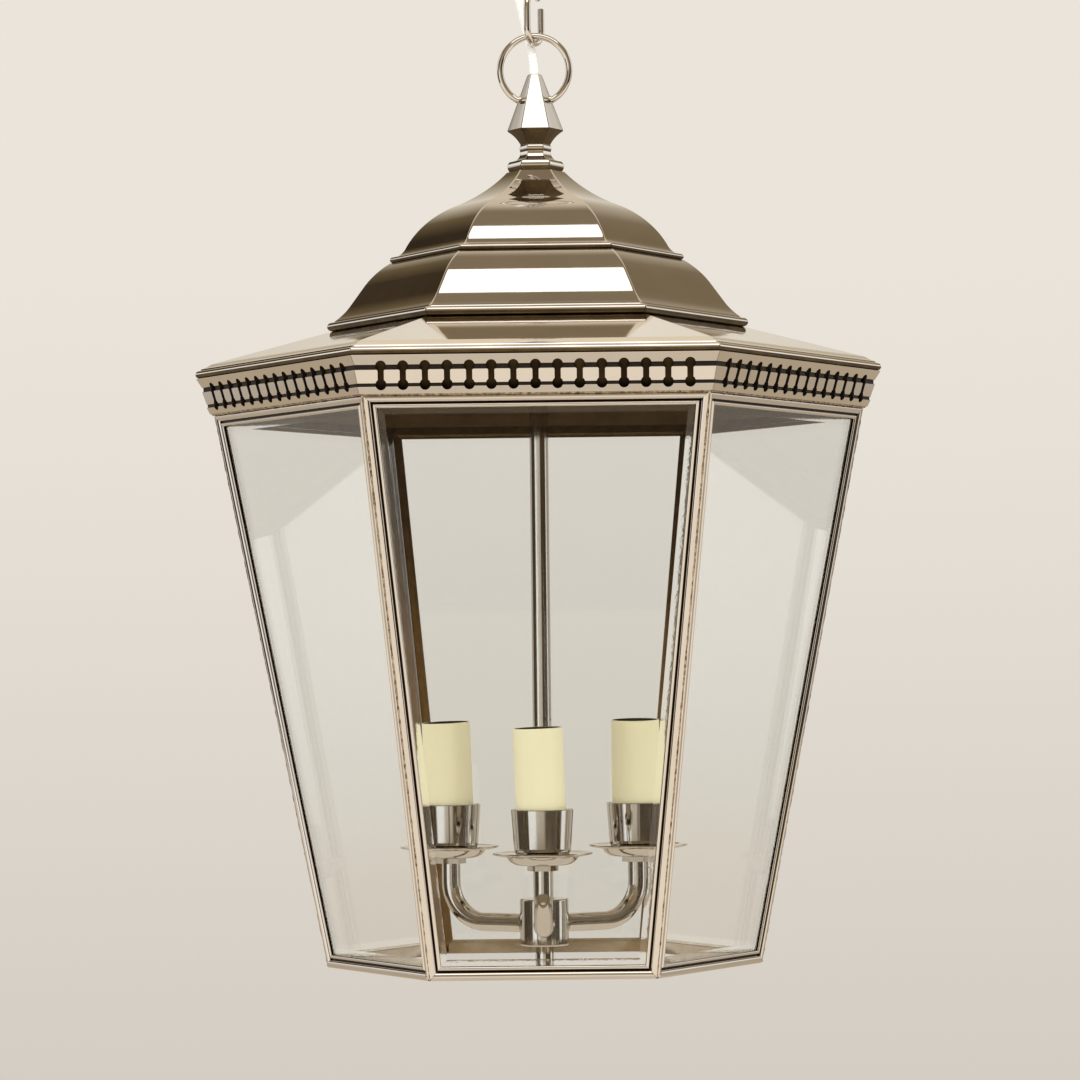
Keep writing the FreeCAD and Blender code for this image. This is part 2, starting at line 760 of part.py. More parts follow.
def make_roof_lower_tier():
    """Lower tier: a flat ogee that rises from a beaded lip and rolls in at its brow."""
    body = new_body("roof_lower_tier")
    wall = D["sheet_wall"]
    lip = D["lower_lip_radius"] * FLAT
    top = lower_top_radius * FLAT
    land = lip - D["lip_land"]
    seat = skirt_height(lip) + D["solder_gap"]
    lip_top = seat + D["lip_height"]
    flare_x = lip - D["lower_flare_width"]
    flare_z = lip_top + D["lower_flare_rise"]
    brow_x = lip - D["brow_inset"]
    brow_z = lip_top + D["brow_rise"]
    points = [
        (land, skirt_height(land) + D["solder_gap"]),
        (lip, seat),
        (lip, lip_top),
        (flare_x, flare_z),
        (brow_x, brow_z),
        (top, lower_top),
        (top - D["lower_flange"], lower_top),
        (top - D["lower_flange"], lower_top - wall),
        (top - wall, lower_top - wall),
        (brow_x - wall, brow_z - wall),
        (flare_x - wall, flare_z - wall),
        (land, lip_top - wall),
    ]
    arcs = {
        1: arc_radius(D["lip_height"], D["lip_bulge"]),
        2: -D["lower_flare_radius"],
        4: D["brow_curve"],
        8: -D["brow_curve"],
        10: D["lower_flare_radius"],
    }
    add_hexagon_sweep(body, points, arcs, flare_x)
    stand_on_axis(body)


def make_roof_upper_tier():
    """Upper tier: an ogee that runs from the beaded lip up to a small flat crown."""
    body = new_body("roof_upper_tier")
    wall = D["sheet_wall"]
    lip = upper_lip_radius * FLAT
    land = lip - D["upper_lip_land"]
    lip_top = upper_foot + D["upper_lip_height"]
    hip = (hip_radius * FLAT, upper_top - D["hip_drop"])
    shoulder = (shoulder_curve_radius * FLAT, upper_top - D["shoulder_drop"])
    crown = (D["crown_radius"] * FLAT, upper_top)
    heart = D["rod_bore"] / 2
    points = [
        (land, upper_foot),
        (lip, upper_foot),
        (lip, lip_top),
        hip,
        shoulder,
        crown,
        (heart, upper_top),
        (heart, upper_top - wall),
        (crown[0] - wall, upper_top - wall),
        (shoulder[0] - wall, shoulder[1] - wall),
        (hip[0] - wall, hip[1] - wall),
        (land, lip_top - wall / 2),
    ]
    arcs = {
        1: arc_radius(D["upper_lip_height"], D["upper_lip_bulge"]),
        2: -D["upper_flare_radius"],
        3: D["hip_curve"],
        4: -D["crown_curve"],
        8: D["crown_curve"],
        9: -D["hip_curve"],
        10: D["upper_flare_radius"],
    }
    add_hexagon_sweep(body, points, arcs, hip[0])
    bore = new_sketch(body, "RodHole", "XY_Plane")
    add_circle(bore, 0, 0, D["rod_diameter"] / 2 + D["rod_gap"])
    add_cut(body, "RodHoleCut", bore)
    stand_on_axis(body)


def make_finial():
    """Cast hexagonal finial, bored for the rod and the flex and cross-drilled for the ring's ends."""
    body = new_body("finial")
    rise = D["flange_round"]
    edge = D["flange_radius"] - D["flange_round"]
    waist_top = D["neck_height"] + D["waist_height"]
    trim = D["waist_round"]
    rings = [
        (0, edge),
        (rise, D["flange_radius"]),
        (D["flange_height"] - rise, D["flange_radius"]),
        (D["flange_height"], edge),
        ((D["flange_height"] + D["neck_height"]) / 2, edge + (D["neck_radius"] - edge) * SCOOP),
        (D["neck_height"], D["neck_radius"]),
        (D["neck_height"] + trim, D["waist_radius"]),
        (waist_top, D["waist_radius"]),
        (waist_top + trim, D["neck_radius"]),
        (D["belly_height"], D["belly_radius"]),
        (D["finial_height"], D["tip_radius"]),
    ]
    sketches = []
    for number, (height, radius) in enumerate(rings):
        level = placement_text(0, 0, finial_foot + height)
        ring = new_sketch(body, "Ring%d" % number, "XY_Plane", level)
        sketches.append(add_outline(ring, hexagon_points(as_size(radius))))
    casting = body.newObject("PartDesign::AdditiveLoft", "Casting")
    casting.Profile = sketches[0]
    casting.Sections = sketches[1:]
    casting.Ruled = True
    bore = new_sketch(body, "FlexBore", "XY_Plane")
    add_circle(bore, 0, 0, D["flex_diameter"] / 2 + D["flex_bore_gap"])
    add_cut(body, "FlexBoreCut", bore)
    socket = new_sketch(body, "RodSocket", "XY_Plane", placement_text(0, 0, finial_foot))
    add_circle(socket, 0, 0, D["rod_diameter"] / 2 + D["rod_gap"])
    add_blind_cut(body, "RodSocketCut", socket, D["finial_socket_depth"], reverse=True)
    hole_start = D["ring_end_reach"] - D["pivot_gap"]
    for name, direction in (("RightPivot", 1), ("LeftPivot", -1)):
        pivot = new_sketch(body, name, "YZ_Plane", placement_text(0, 0, hole_start * direction))
        add_circle(pivot, 0, pivot_level, D["ring_wire"] / 2 + D["pivot_gap"])
        add_blind_cut(body, name + "Cut", pivot, D["belly_radius"], reverse=direction > 0)
    stand_on_axis(body)


def make_hanging_ring():
    """Round wire ring whose two ends turn in towards each other and pivot in the finial."""
    body = new_body("hanging_ring")
    small = D["ring_radius"] - D["ring_bend"]
    drop = D["pivot_drop"] - D["ring_bend"]
    bend_x = derived("ring_bend_x", root(small * small - drop * drop))
    share = D["ring_radius"] / small
    side = (bend_x * share, ring_level - drop * share)
    points = [
        (D["ring_end_reach"], pivot_level),
        (bend_x, pivot_level),
        side,
        (0, ring_level + D["ring_radius"]),
        (-side[0], side[1]),
        (-bend_x, pivot_level),
        (-D["ring_end_reach"], pivot_level),
    ]
    arcs = {1: D["ring_bend"], 2: D["ring_radius"], 3: D["ring_radius"], 4: D["ring_bend"]}
    path = add_outline(new_sketch(body, "WirePath", "XZ_Plane"), points, arcs, closed=False)
    profile = new_sketch(body, "Wire", "YZ_Plane", placement_text(0, 0, D["ring_end_reach"]))
    add_circle(profile, 0, pivot_level, D["ring_wire"] / 2)
    add_sweep(body, profile, path)
    stand_on_axis(body)


def make_chain_link():
    """Oval wire link, left open at one shoulder, that carries the ring."""
    body = new_body("chain_link")
    half = D["link_half_width"]
    low = link_foot + half
    high = low + D["link_leg"]
    opening = D["link_opening"] / half * (STRAIGHT / math.pi)
    points = [
        (half, high),
        (half, low),
        (0, link_foot),
        (-half, low),
        (-half, high),
        (0, high + half),
        (half * cosine(opening), high + half * sine(opening)),
    ]
    arcs = {1: -half, 2: -half, 4: -half, 5: -half}
    path = add_outline(new_sketch(body, "WirePath", "XZ_Plane"), points, arcs, closed=False)
    profile = new_sketch(body, "Wire", "XY_Plane", placement_text(0, 0, high))
    add_circle(profile, half, 0, D["link_wire"] / 2)
    add_sweep(body, profile, path)
    stand_on_axis(body, D["link_turn"])


def make_centre_rod():
    """Tube that hangs the light cluster from the crown and leads the flex down to it."""
    body = new_body("centre_rod")
    section = new_sketch(body, "Section", "XY_Plane", placement_text(0, 0, rod_foot))
    add_circle(section, 0, 0, D["rod_diameter"] / 2)
    add_circle(section, 0, 0, D["rod_bore"] / 2)
    top = finial_foot + D["finial_socket_depth"] - D["finial_gap"]
    add_pad(body, "Tube", section, top - rod_foot)
    stand_on_axis(body)


def make_crown_washer():
    body = new_body("crown_washer")
    top = upper_top - D["sheet_wall"] - D["seat_gap"]
    section = new_sketch(body, "Section", "XY_Plane", placement_text(0, 0, top - D["washer_thickness"]))
    add_circle(section, 0, 0, D["washer_radius"])
    add_circle(section, 0, 0, D["rod_diameter"] / 2 + D["rod_gap"])
    add_pad(body, "Disc", section, D["washer_thickness"])
    stand_on_axis(body)


def make_crown_nut():
    body = new_body("crown_nut")
    top = upper_top - D["sheet_wall"] - D["washer_thickness"] - D["seat_gap"] * 2
    section = new_sketch(body, "Section", "XY_Plane", placement_text(0, 0, top - D["crown_nut_height"]))
    add_outline(section, hexagon_points(D["crown_nut_flats"] / 2 / FLAT))
    add_circle(section, 0, 0, D["rod_diameter"] / 2 + D["rod_gap"])
    add_pad(body, "Hexagon", section, D["crown_nut_height"])
    stand_on_axis(body)


def make_arm_hub():
    """Turned hub with a rounded foot, bored for the rod and cross-bored for the three arms."""
    body = new_body("arm_hub")
    bore = D["rod_diameter"] / 2 + D["rod_gap"]
    foot = D["hub_bottom"]
    top = foot + D["hub_height"]
    edge = D["hub_edge"]
    points = [
        (bore, foot),
        (D["hub_radius"] - D["hub_round"], foot),
        (D["hub_radius"], foot + D["hub_round"]),
        (D["hub_radius"], top - edge),
        (D["hub_radius"] - edge, top),
        (bore, top),
    ]
    add_turning(body, points, {1: D["hub_round"]})
    hole = new_sketch(body, "ArmBore", "YZ_Plane", placement_text(0, 0, D["hub_radius"] - D["arm_inset"]))
    add_circle(hole, 0, D["arm_level"], D["arm_diameter"] / 2 + D["arm_gap"])
    drilled = add_blind_cut(body, "ArmBoreCut", hole, D["hub_radius"], reverse=True)
    ring = body.newObject("PartDesign::PolarPattern", "ArmBores")
    ring.Originals = [drilled]
    ring.Axis = (upright_axis(body), [""])
    ring.Angle = 360
    ring.Occurrences = LIGHTS
    body.Tip = ring
    stand_on_axis(body, FIRST_LIGHT_ANGLE)


def make_rod_plug():
    """Domed plug that closes the rod's lower end, flush with its outside."""
    body = new_body("rod_plug")
    seat = rod_foot - D["seat_gap"]
    shank = D["rod_bore"] / 2 - D["rod_gap"]
    points = [
        (0, seat - D["plug_head"]),
        (D["rod_diameter"] / 2, seat - D["plug_edge"]),
        (D["rod_diameter"] / 2, seat),
        (shank, seat),
        (shank, seat + D["plug_depth"]),
        (0, seat + D["plug_depth"]),
    ]
    add_turning(body, points, {0: D["plug_dome"]})
    stand_on_axis(body)


def make_arm(light):
    """Bent tube from the hub out and up to its drip pan."""
    body = new_body("candle_arm_%d" % (light + 1))
    start = D["hub_radius"] - D["arm_inset"] + D["arm_gap"]
    bend = D["arm_bend"]
    end = D["pan_bottom"] + D["arm_end_rise"]
    points = [
        (start, D["arm_level"]),
        (D["arm_reach"] - bend, D["arm_level"]),
        (D["arm_reach"], D["arm_level"] + bend),
        (D["arm_reach"], end),
    ]
    path = add_outline(new_sketch(body, "TubePath", "XZ_Plane"), points, {1: bend}, closed=False)
    profile = new_sketch(body, "Tube", "YZ_Plane", placement_text(0, 0, start))
    add_circle(profile, 0, D["arm_level"], D["arm_diameter"] / 2)
    add_circle(profile, 0, D["arm_level"], D["arm_bore"] / 2)
    add_sweep(body, profile, path)
    stand_on_axis(body, FIRST_LIGHT_ANGLE + LIGHT_ANGLE * light)


def make_drip_pan(light):
    """Spun dish with a flat foot and a flared rim, clamped between the arm's nut and the cup."""
    body = new_body("drip_pan_%d" % (light + 1))
    hole = D["arm_diameter"] / 2 + D["arm_gap"]
    foot = D["pan_bottom"]
    rim = foot + D["pan_height"]
    wall = D["pan_wall"]
    bowl = D["pan_bowl_radius"]
    bowl_top = foot + D["pan_bowl_rise"]
    points = [
        (hole, foot),
        (D["pan_foot_radius"], foot),
        (bowl, bowl_top),
        (D["pan_radius"], rim - D["pan_rim_drop"]),
        (D["pan_radius"], rim),
        (bowl - wall / 2, bowl_top + wall),
        (D["pan_foot_radius"], foot + wall),
        (hole, foot + wall),
    ]
    add_turning(body, points, {1: D["pan_curve"], 5: -D["pan_curve"]})
    stand_at_light(body, light)


def make_candle_cup(light):
    """Spun tulip cup that holds the candle tube."""
    body = new_body("candle_cup_%d" % (light + 1))
    hole = D["arm_diameter"] / 2 + D["arm_gap"]
    wall = D["cup_wall"]
    bowl = cup_foot + D["cup_bowl_rise"]
    top = cup_foot + D["cup_height"]
    points = [
        (hole, cup_foot),
        (D["cup_foot_radius"], cup_foot),
        (cup_bowl_radius, bowl),
        (cup_radius, top),
        (cup_radius - wall, top),
        (cup_bowl_radius - wall, bowl),
        (D["cup_foot_radius"], cup_foot + wall),
        (hole, cup_foot + wall),
    ]
    add_turning(body, points, {1: cup_bowl_radius, 5: -cup_bowl_radius})
    stand_at_light(body, light)


def make_candle_tube(light):
    """Plain card-thick sleeve that stands in the cup round the lampholder."""
    body = new_body("candle_tube_%d" % (light + 1))
    foot = cup_foot + D["candle_foot_rise"]
    section = new_sketch(body, "Section", "XY_Plane", placement_text(0, 0, foot))
    add_circle(section, 0, 0, D["candle_radius"])
    add_circle(section, 0, 0, D["candle_radius"] - D["candle_wall"])
    add_pad(body, "Sleeve", section, D["candle_top"] - foot)
    stand_at_light(body, light)


def make_lampholder(light):
    """Moulded small-screw lampholder on its stem, screwed on the arm's end inside the sleeve."""
    body = new_body("lampholder_%d" % (light + 1))
    foot = cup_foot + D["cup_wall"] + D["seat_gap"]
    top = D["candle_top"] - D["holder_drop"]
    head = top - D["holder_head_height"]
    head_radius = D["candle_radius"] - D["candle_wall"] - D["holder_gap"]
    arm_end = D["pan_bottom"] + D["arm_end_rise"] + D["arm_gap"]
    bore = D["arm_diameter"] / 2 + D["arm_gap"]
    shoulder = foot + D["holder_foot_height"]
    cone = head_radius - D["holder_stem_radius"]
    points = [
        (bore, foot),
        (D["holder_foot_radius"], foot),
        (D["holder_foot_radius"], shoulder),
        (D["holder_stem_radius"], shoulder),
        (D["holder_stem_radius"], head - cone),
        (head_radius, head),
        (head_radius, top),
        (D["socket_radius"], top),
        (D["socket_radius"], top - D["socket_depth"]),
        (0, top - D["socket_depth"]),
        (0, arm_end),
        (bore, arm_end),
    ]
    add_turning(body, points)
    stand_at_light(body, light)


def make_arm_nuts():
    """The three flat nuts under the drip pans, kept together as one set."""
    body = new_body("arm_nuts")
    top = D["pan_bottom"] - D["seat_gap"]
    section = new_sketch(body, "Section", "XY_Plane", placement_text(0, 0, top - D["arm_nut_height"]))
    for light in range(LIGHTS):
        turn = math.radians(FIRST_LIGHT_ANGLE + LIGHT_ANGLE * light)
        x = D["arm_reach"] * math.cos(turn)
        y = D["arm_reach"] * math.sin(turn)
        corners = hexagon_points(D["arm_nut_flats"] / 2 / FLAT)
        add_outline(section, [(x + across, y + along) for across, along in corners])
        add_circle(section, x, y, D["arm_diameter"] / 2 + D["arm_gap"])
    body.AllowCompound = True
    add_pad(body, "Nuts", section, D["arm_nut_height"])
    stand_on_axis(body)


# Route of the flex from the finial's tip: out of its bore, behind the ring and past the link
FLEX_ROUTE = [
    FreeCAD.Vector(0, 0, -11.4),
    FreeCAD.Vector(0, 0, 3.6),
    FreeCAD.Vector(-2.8, 7.8, 18.6),
    FreeCAD.Vector(-5.6, 10.4, 31.6),
    FreeCAD.Vector(-8.0, 10.0, 42.6),
    FreeCAD.Vector(-9.8, 9.4, 52.6),
    FreeCAD.Vector(-10.9, 8.6, 61.6),
]
ARC_SHARE = 0.45
# Run of the route in whose middle the two lengths meet
FLEX_SPLIT = 3


def flex_edges(points):
    """Straight runs of the flex, joined at each point by an arc as large as its two runs allow."""
    edges = []
    here = points[0]
    for before, corner, after in zip(points, points[1:], points[2:]):
        back = (before - corner).normalize()
        ahead = (after - corner).normalize()
        trim = ARC_SHARE * min((before - corner).Length, (after - corner).Length)
        half_turn = (math.pi - back.getAngle(ahead)) / 2
        radius = trim / math.tan(half_turn)
        print("flex bend radius %.1f mm" % radius)
        inward = (back + ahead).normalize()
        middle = corner + inward * (radius / math.cos(half_turn) - radius)
        start = corner + back * trim
        end = corner + ahead * trim
        edges.append(Part.LineSegment(here, start).toShape())
        edges.append(Part.Arc(start, middle, end).toShape())
        here = end
    edges.append(Part.LineSegment(here, points[-1]).toShape())
    return edges


def make_flex():
    """Clear round flex in two lengths that meet behind the ring: one from the finial, one by the link."""
    edges = flex_edges(FLEX_ROUTE)
    joint = 2 * (FLEX_SPLIT - 1) + 1
    split_edge = edges[joint - 1]
    middle = split_edge.valueAt((split_edge.FirstParameter + split_edge.LastParameter) / 2)
    first, last = (vertex.Point for vertex in split_edge.Vertexes)
    lower = edges[:joint - 1] + [Part.LineSegment(first, middle).toShape()]
    upper = [Part.LineSegment(middle, last).toShape()] + edges[joint:]
    radius = D["flex_diameter"].value / 2
    for label, run in (("flex_lower", lower), ("flex_upper", upper)):
        path = Part.Wire(run)
        start = run[0].valueAt(run[0].FirstParameter)
        heading = run[0].tangentAt(run[0].FirstParameter)
        ring = Part.Wire([Part.Circle(start, heading, radius).toShape()])
        tube = path.makePipeShell([ring], True, False)
        print("%s volume ratio %.4f" % (label, tube.Volume / (math.pi * radius ** 2 * path.Length)))
        piece = doc.addObject("Part::Feature", label)
        piece.Label = label
        piece.Shape = tube
        piece.Placement = FreeCAD.Placement()
        level = finial_tip - hang_height
        piece.setExpression("Placement", placement_text(0, 0, level))
        sub_parts.append(piece)


def build():
    for side in range(SIDES):
        make_corner_post(side)
        make_rail("top_rail_%d" % (side + 1), side, slope_height, -1, shoulder_radius / 2, top_mitre)
        make_rail("bottom_rail_%d" % (side + 1), side, as_size(0), 1, D["foot_radius"] / 2, foot_mitre)
        make_glass_pane(side)
        make_gallery_strip(side)
    make_gallery_liner()
    make_roof_skirt()
    make_roof_lower_tier()
    make_roof_upper_tier()
    make_finial()
    make_hanging_ring()
    make_chain_link()
    make_flex()
    make_centre_rod()
    make_crown_washer()
    make_crown_nut()
    make_arm_hub()
    make_rod_plug()
    make_arm_nuts()
    for light in range(LIGHTS):
        make_arm(light)
        make_drip_pan(light)
        make_candle_cup(light)
        make_candle_tube(light)
        make_lampholder(light)
    doc.recompute()


def check_and_write():
    for item in doc.Objects:
        if "Invalid" in item.State or "Error" in item.State:
            raise RuntimeError("%s failed: %s" % (item.Label, item.State))
    for piece in sub_parts:
        if piece.Shape.isNull() or not piece.Shape.isValid():
            raise RuntimeError("%s has no valid shape" % piece.Label)
    os.makedirs("parts", exist_ok=True)
    for piece in sub_parts:
        piece.Shape.exportStep(os.path.join("parts", piece.Label + ".step"))
    print("wrote %d pieces" % len(sub_parts))


build()
check_and_write()
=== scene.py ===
import math

import bmesh
import bpy
from mathutils import Matrix, Vector, noise


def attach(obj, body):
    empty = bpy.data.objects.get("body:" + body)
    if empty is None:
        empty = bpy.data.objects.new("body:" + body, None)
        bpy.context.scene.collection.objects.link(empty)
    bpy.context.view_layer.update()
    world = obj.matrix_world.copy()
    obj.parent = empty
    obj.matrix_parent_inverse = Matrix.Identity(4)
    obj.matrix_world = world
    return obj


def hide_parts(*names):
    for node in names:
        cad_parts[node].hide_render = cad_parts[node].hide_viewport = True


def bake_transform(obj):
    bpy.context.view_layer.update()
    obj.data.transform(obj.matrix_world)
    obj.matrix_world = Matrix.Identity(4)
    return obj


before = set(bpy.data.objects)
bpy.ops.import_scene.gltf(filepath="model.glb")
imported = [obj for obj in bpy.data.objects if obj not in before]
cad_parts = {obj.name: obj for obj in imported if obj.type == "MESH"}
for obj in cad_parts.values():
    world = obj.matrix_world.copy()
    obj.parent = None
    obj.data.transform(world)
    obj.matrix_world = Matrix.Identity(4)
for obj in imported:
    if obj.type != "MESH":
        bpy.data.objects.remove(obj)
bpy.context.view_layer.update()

# Hexagonal hanging porch lantern in polished nickel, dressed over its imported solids.
# Lengths are written in millimetres and heights are counted from the frame's lower edge, as on a drawing.
# One pane faces -Y, and the corner posts stand at 0, 60, 120 degrees and so on.

MM = 0.001
HANG_HEIGHT = 518.25
SIDES = 6
SIDE_TURN = 60
LIGHTS = 3
FIRST_LIGHT = -90
# How far each candle sleeve stands out of true, to the left and forwards, in degrees
SLEEVE_LEANS = [(1.7, 1.8), (0.2, 3.0), (1.9, 2.3)]
# How far each one stands up from its seat
SLEEVE_LIFTS = [0.0, 2.4, 2.0]
ARM_REACH = 58.0
FLAT = math.cos(math.pi / SIDES)
SLANT = math.tan(math.pi / SIDES)
SHEET = 1.4

FRAME_HEIGHT = 296.0
FOOT_RADIUS = 116.6
SHOULDER_RADIUS = 174.3
GALLERY_TOP = 315.3
ROOF_SEAT = 339.8
LOWER_LIP_RADIUS = 110.2
LOWER_TOP = 376.0
CROWN = 423.9
FINIAL_FOOT = 424.1
FINIAL_TIP = 476.5
PIVOT = 462.9
RING_CENTRE = 478.9
LINK_FOOT = 493.5
CUP_FOOT = 57.7
SLEEVE_SEAT = CUP_FOOT + 6.8
CANDLE_TOP = 127.8


def linear(code):
    """An sRGB hex colour as linear red, green, blue and alpha."""
    channels = [int(code[place:place + 2], 16) / 255 for place in (1, 3, 5)]
    return [c / 12.92 if c <= 0.04045 else ((c + 0.055) / 1.055) ** 2.4 for c in channels] + [1.0]


def height(level):
    """A height above the frame's foot, in metres in the row frame."""
    return (level - HANG_HEIGHT) * MM


def add_node(tree, kind, settings=None, inputs=None):
    """One shader node with its settings; each input takes a value or a link from another node's socket."""
    made = tree.nodes.new(kind)
    for key, value in (settings or {}).items():
        setattr(made, key, value)
    for key, value in (inputs or {}).items():
        if isinstance(value, bpy.types.NodeSocket):
            tree.links.new(value, made.inputs[key])
        else:
            made.inputs[key].default_value = value
    return made


def start_material(name):
    material = bpy.data.materials.new(name)
    material.use_nodes = True
    tree = material.node_tree
    place = add_node(tree, "ShaderNodeTexCoord").outputs["Object"]
    return material, tree, tree.nodes["Principled BSDF"], place


def per_mm(size):
    """Texture scale at which one pattern feature is this many millimetres."""
    return 1 / (size * MM)


# Materials

def polished_nickel(name="polished_nickel", roughness=0.05, ripple=0.10, dull="#D2CCC3", bright="#DFDBD6"):
    """Nickel plate on brass sheet, buffed to a mirror: warm grey reflections that waver a little where the
    sheet was hammered and soldered, and a faint haze where fingers and cloth dulled the plate."""
    material, tree, shader, place = start_material(name)
    shader.inputs["Metallic"].default_value = 1.0
    cloud = add_node(tree, "ShaderNodeTexNoise", inputs={
        "Vector": place, "Scale": per_mm(28), "Detail": 4.0, "Roughness": 0.6})
    tint = add_node(tree, "ShaderNodeMix", {"data_type": "RGBA"}, {
        0: cloud.outputs["Fac"], 6: linear(dull), 7: linear(bright)})
    haze = add_node(tree, "ShaderNodeMapRange", inputs={
        "Value": cloud.outputs["Fac"], "From Min": 0.3, "From Max": 0.75,
        "To Min": roughness * 0.7, "To Max": roughness * 1.8})
    wave = add_node(tree, "ShaderNodeTexNoise", inputs={
        "Vector": place, "Scale": per_mm(34), "Detail": 1.5, "Roughness": 0.45})
    bump = add_node(tree, "ShaderNodeBump", inputs={
        "Strength": 1.0, "Distance": ripple * MM, "Height": wave.outputs["Fac"]})
    tree.links.new(tint.outputs[2], shader.inputs["Base Color"])
    tree.links.new(haze.outputs["Result"], shader.inputs["Roughness"])
    tree.links.new(bump.outputs["Normal"], shader.inputs["Normal"])
    return material


# Depths behind the frame's outer faces where the groove's painted shade and the bars' dull inside begin and
# are complete
GROOVE_DEPTH = (1.25, 1.7)
INSIDE_DEPTH = (2.45, 2.6)


def frame_nickel(name, shade, stain_shade, inner_roughness):
    """The same plate on the drawn and soldered bars of the frame. Outside it is a mirror; behind the glass
    line, where no mop reaches, it keeps flux stains and a duller skin. The groove is painted near black as
    shade."""
    material = polished_nickel(name, roughness=0.05, ripple=0.04)
    tree = material.node_tree
    shader = tree.nodes["Principled BSDF"]
    place = add_node(tree, "ShaderNodeTexCoord").outputs["Object"]
    split = add_node(tree, "ShaderNodeSeparateXYZ", inputs={0: place}).outputs
    lean = (SHOULDER_RADIUS - FOOT_RADIUS) * FLAT / FRAME_HEIGHT
    foot_apothem = FOOT_RADIUS * FLAT * MM - height(0) * lean
    reach = None
    for turn in (30, 90, 150):
        across = math.cos(math.radians(turn))
        along = math.sin(math.radians(turn))
        right = add_node(tree, "ShaderNodeMath", {"operation": "MULTIPLY"}, {0: split["X"], 1: across})
        total = add_node(tree, "ShaderNodeMath", {"operation": "MULTIPLY_ADD"}, {
            0: split["Y"], 1: along, 2: right.outputs[0]})
        size = add_node(tree, "ShaderNodeMath", {"operation": "ABSOLUTE"}, {0: total.outputs[0]})
        if reach is None:
            reach = size.outputs[0]
        else:
            reach = add_node(tree, "ShaderNodeMath", {"operation": "MAXIMUM"}, {
                0: reach, 1: size.outputs[0]}).outputs[0]
    outer = add_node(tree, "ShaderNodeMath", {"operation": "MULTIPLY_ADD"}, {
        0: split["Z"], 1: lean, 2: foot_apothem})
    depth = add_node(tree, "ShaderNodeMath", {"operation": "SUBTRACT"}, {0: outer.outputs[0], 1: reach})
    groove, inside = (add_node(tree, "ShaderNodeMapRange", {"interpolation_type": "SMOOTHSTEP"}, {
        "Value": depth.outputs[0], "From Min": begin * MM, "From Max": finish * MM})
        for begin, finish in (GROOVE_DEPTH, INSIDE_DEPTH))
    stain = add_node(tree, "ShaderNodeTexNoise", inputs={
        "Vector": place, "Scale": per_mm(7), "Detail": 6.0, "Roughness": 0.7})
    dull = add_node(tree, "ShaderNodeMix", {"data_type": "RGBA"}, {
        0: stain.outputs["Fac"], 6: linear(stain_shade), 7: linear(shade)})
    bright = shader.inputs["Base Color"].links[0].from_socket
    gloss = shader.inputs["Roughness"].links[0].from_socket
    # Painted shade: the groove is painted near black, standing in for the shade in its deep recess
    groove_painted_shade = add_node(tree, "ShaderNodeMix", {"data_type": "RGBA"}, {
        0: groove.outputs["Result"], 6: bright, 7: linear("#150E09")})
    colour = add_node(tree, "ShaderNodeMix", {"data_type": "RGBA"}, {
        0: inside.outputs["Result"], 6: groove_painted_shade.outputs[2], 7: dull.outputs[2]})
    rough = add_node(tree, "ShaderNodeMix", inputs={
        0: groove.outputs["Result"], 2: gloss, 3: inner_roughness})
    tree.links.new(colour.outputs[2], shader.inputs["Base Color"])
    tree.links.new(rough.outputs[0], shader.inputs["Roughness"])
    return material


def liner_brass_painted_shade():
    """Inner band of brass, clouded and dull, painted by facing: near black on the outer side behind the
    slots, as painted shade, and a light brass on the side towards the lamps, as painted light."""
    material, tree, shader, place = start_material("liner_brass_painted_shade")
    shader.inputs["Metallic"].default_value = 1.0
    cloud = add_node(tree, "ShaderNodeTexNoise", inputs={
        "Vector": place, "Scale": per_mm(22), "Detail": 7.0, "Roughness": 0.6})
    # Painted shade: the outer side, seen through the slots, is near black
    outer = add_node(tree, "ShaderNodeMix", {"data_type": "RGBA"}, {
        0: cloud.outputs["Fac"], 6: linear("#1C150D"), 7: linear("#5A4A32")})
    # Painted light: the side towards the lamps is a light brass
    lit_side = add_node(tree, "ShaderNodeMix", {"data_type": "RGBA"}, {
        0: cloud.outputs["Fac"], 6: linear("#B0925E"), 7: linear("#F2DAAA")})
    facing = add_node(tree, "ShaderNodeTexCoord").outputs["Normal"]
    outward = add_node(tree, "ShaderNodeVectorMath", {"operation": "DOT_PRODUCT"}, {0: place, 1: facing})
    inside = add_node(tree, "ShaderNodeMath", {"operation": "LESS_THAN"}, {
        0: outward.outputs["Value"], 1: 0.0})
    colour = add_node(tree, "ShaderNodeMix", {"data_type": "RGBA"}, {
        0: inside.outputs[0], 6: outer.outputs[2], 7: lit_side.outputs[2]})
    rough = add_node(tree, "ShaderNodeMapRange", inputs={
        "Value": cloud.outputs["Fac"], "To Min": 0.6, "To Max": 0.4})
    tree.links.new(colour.outputs[2], shader.inputs["Base Color"])
    tree.links.new(rough.outputs["Result"], shader.inputs["Roughness"])
    return material


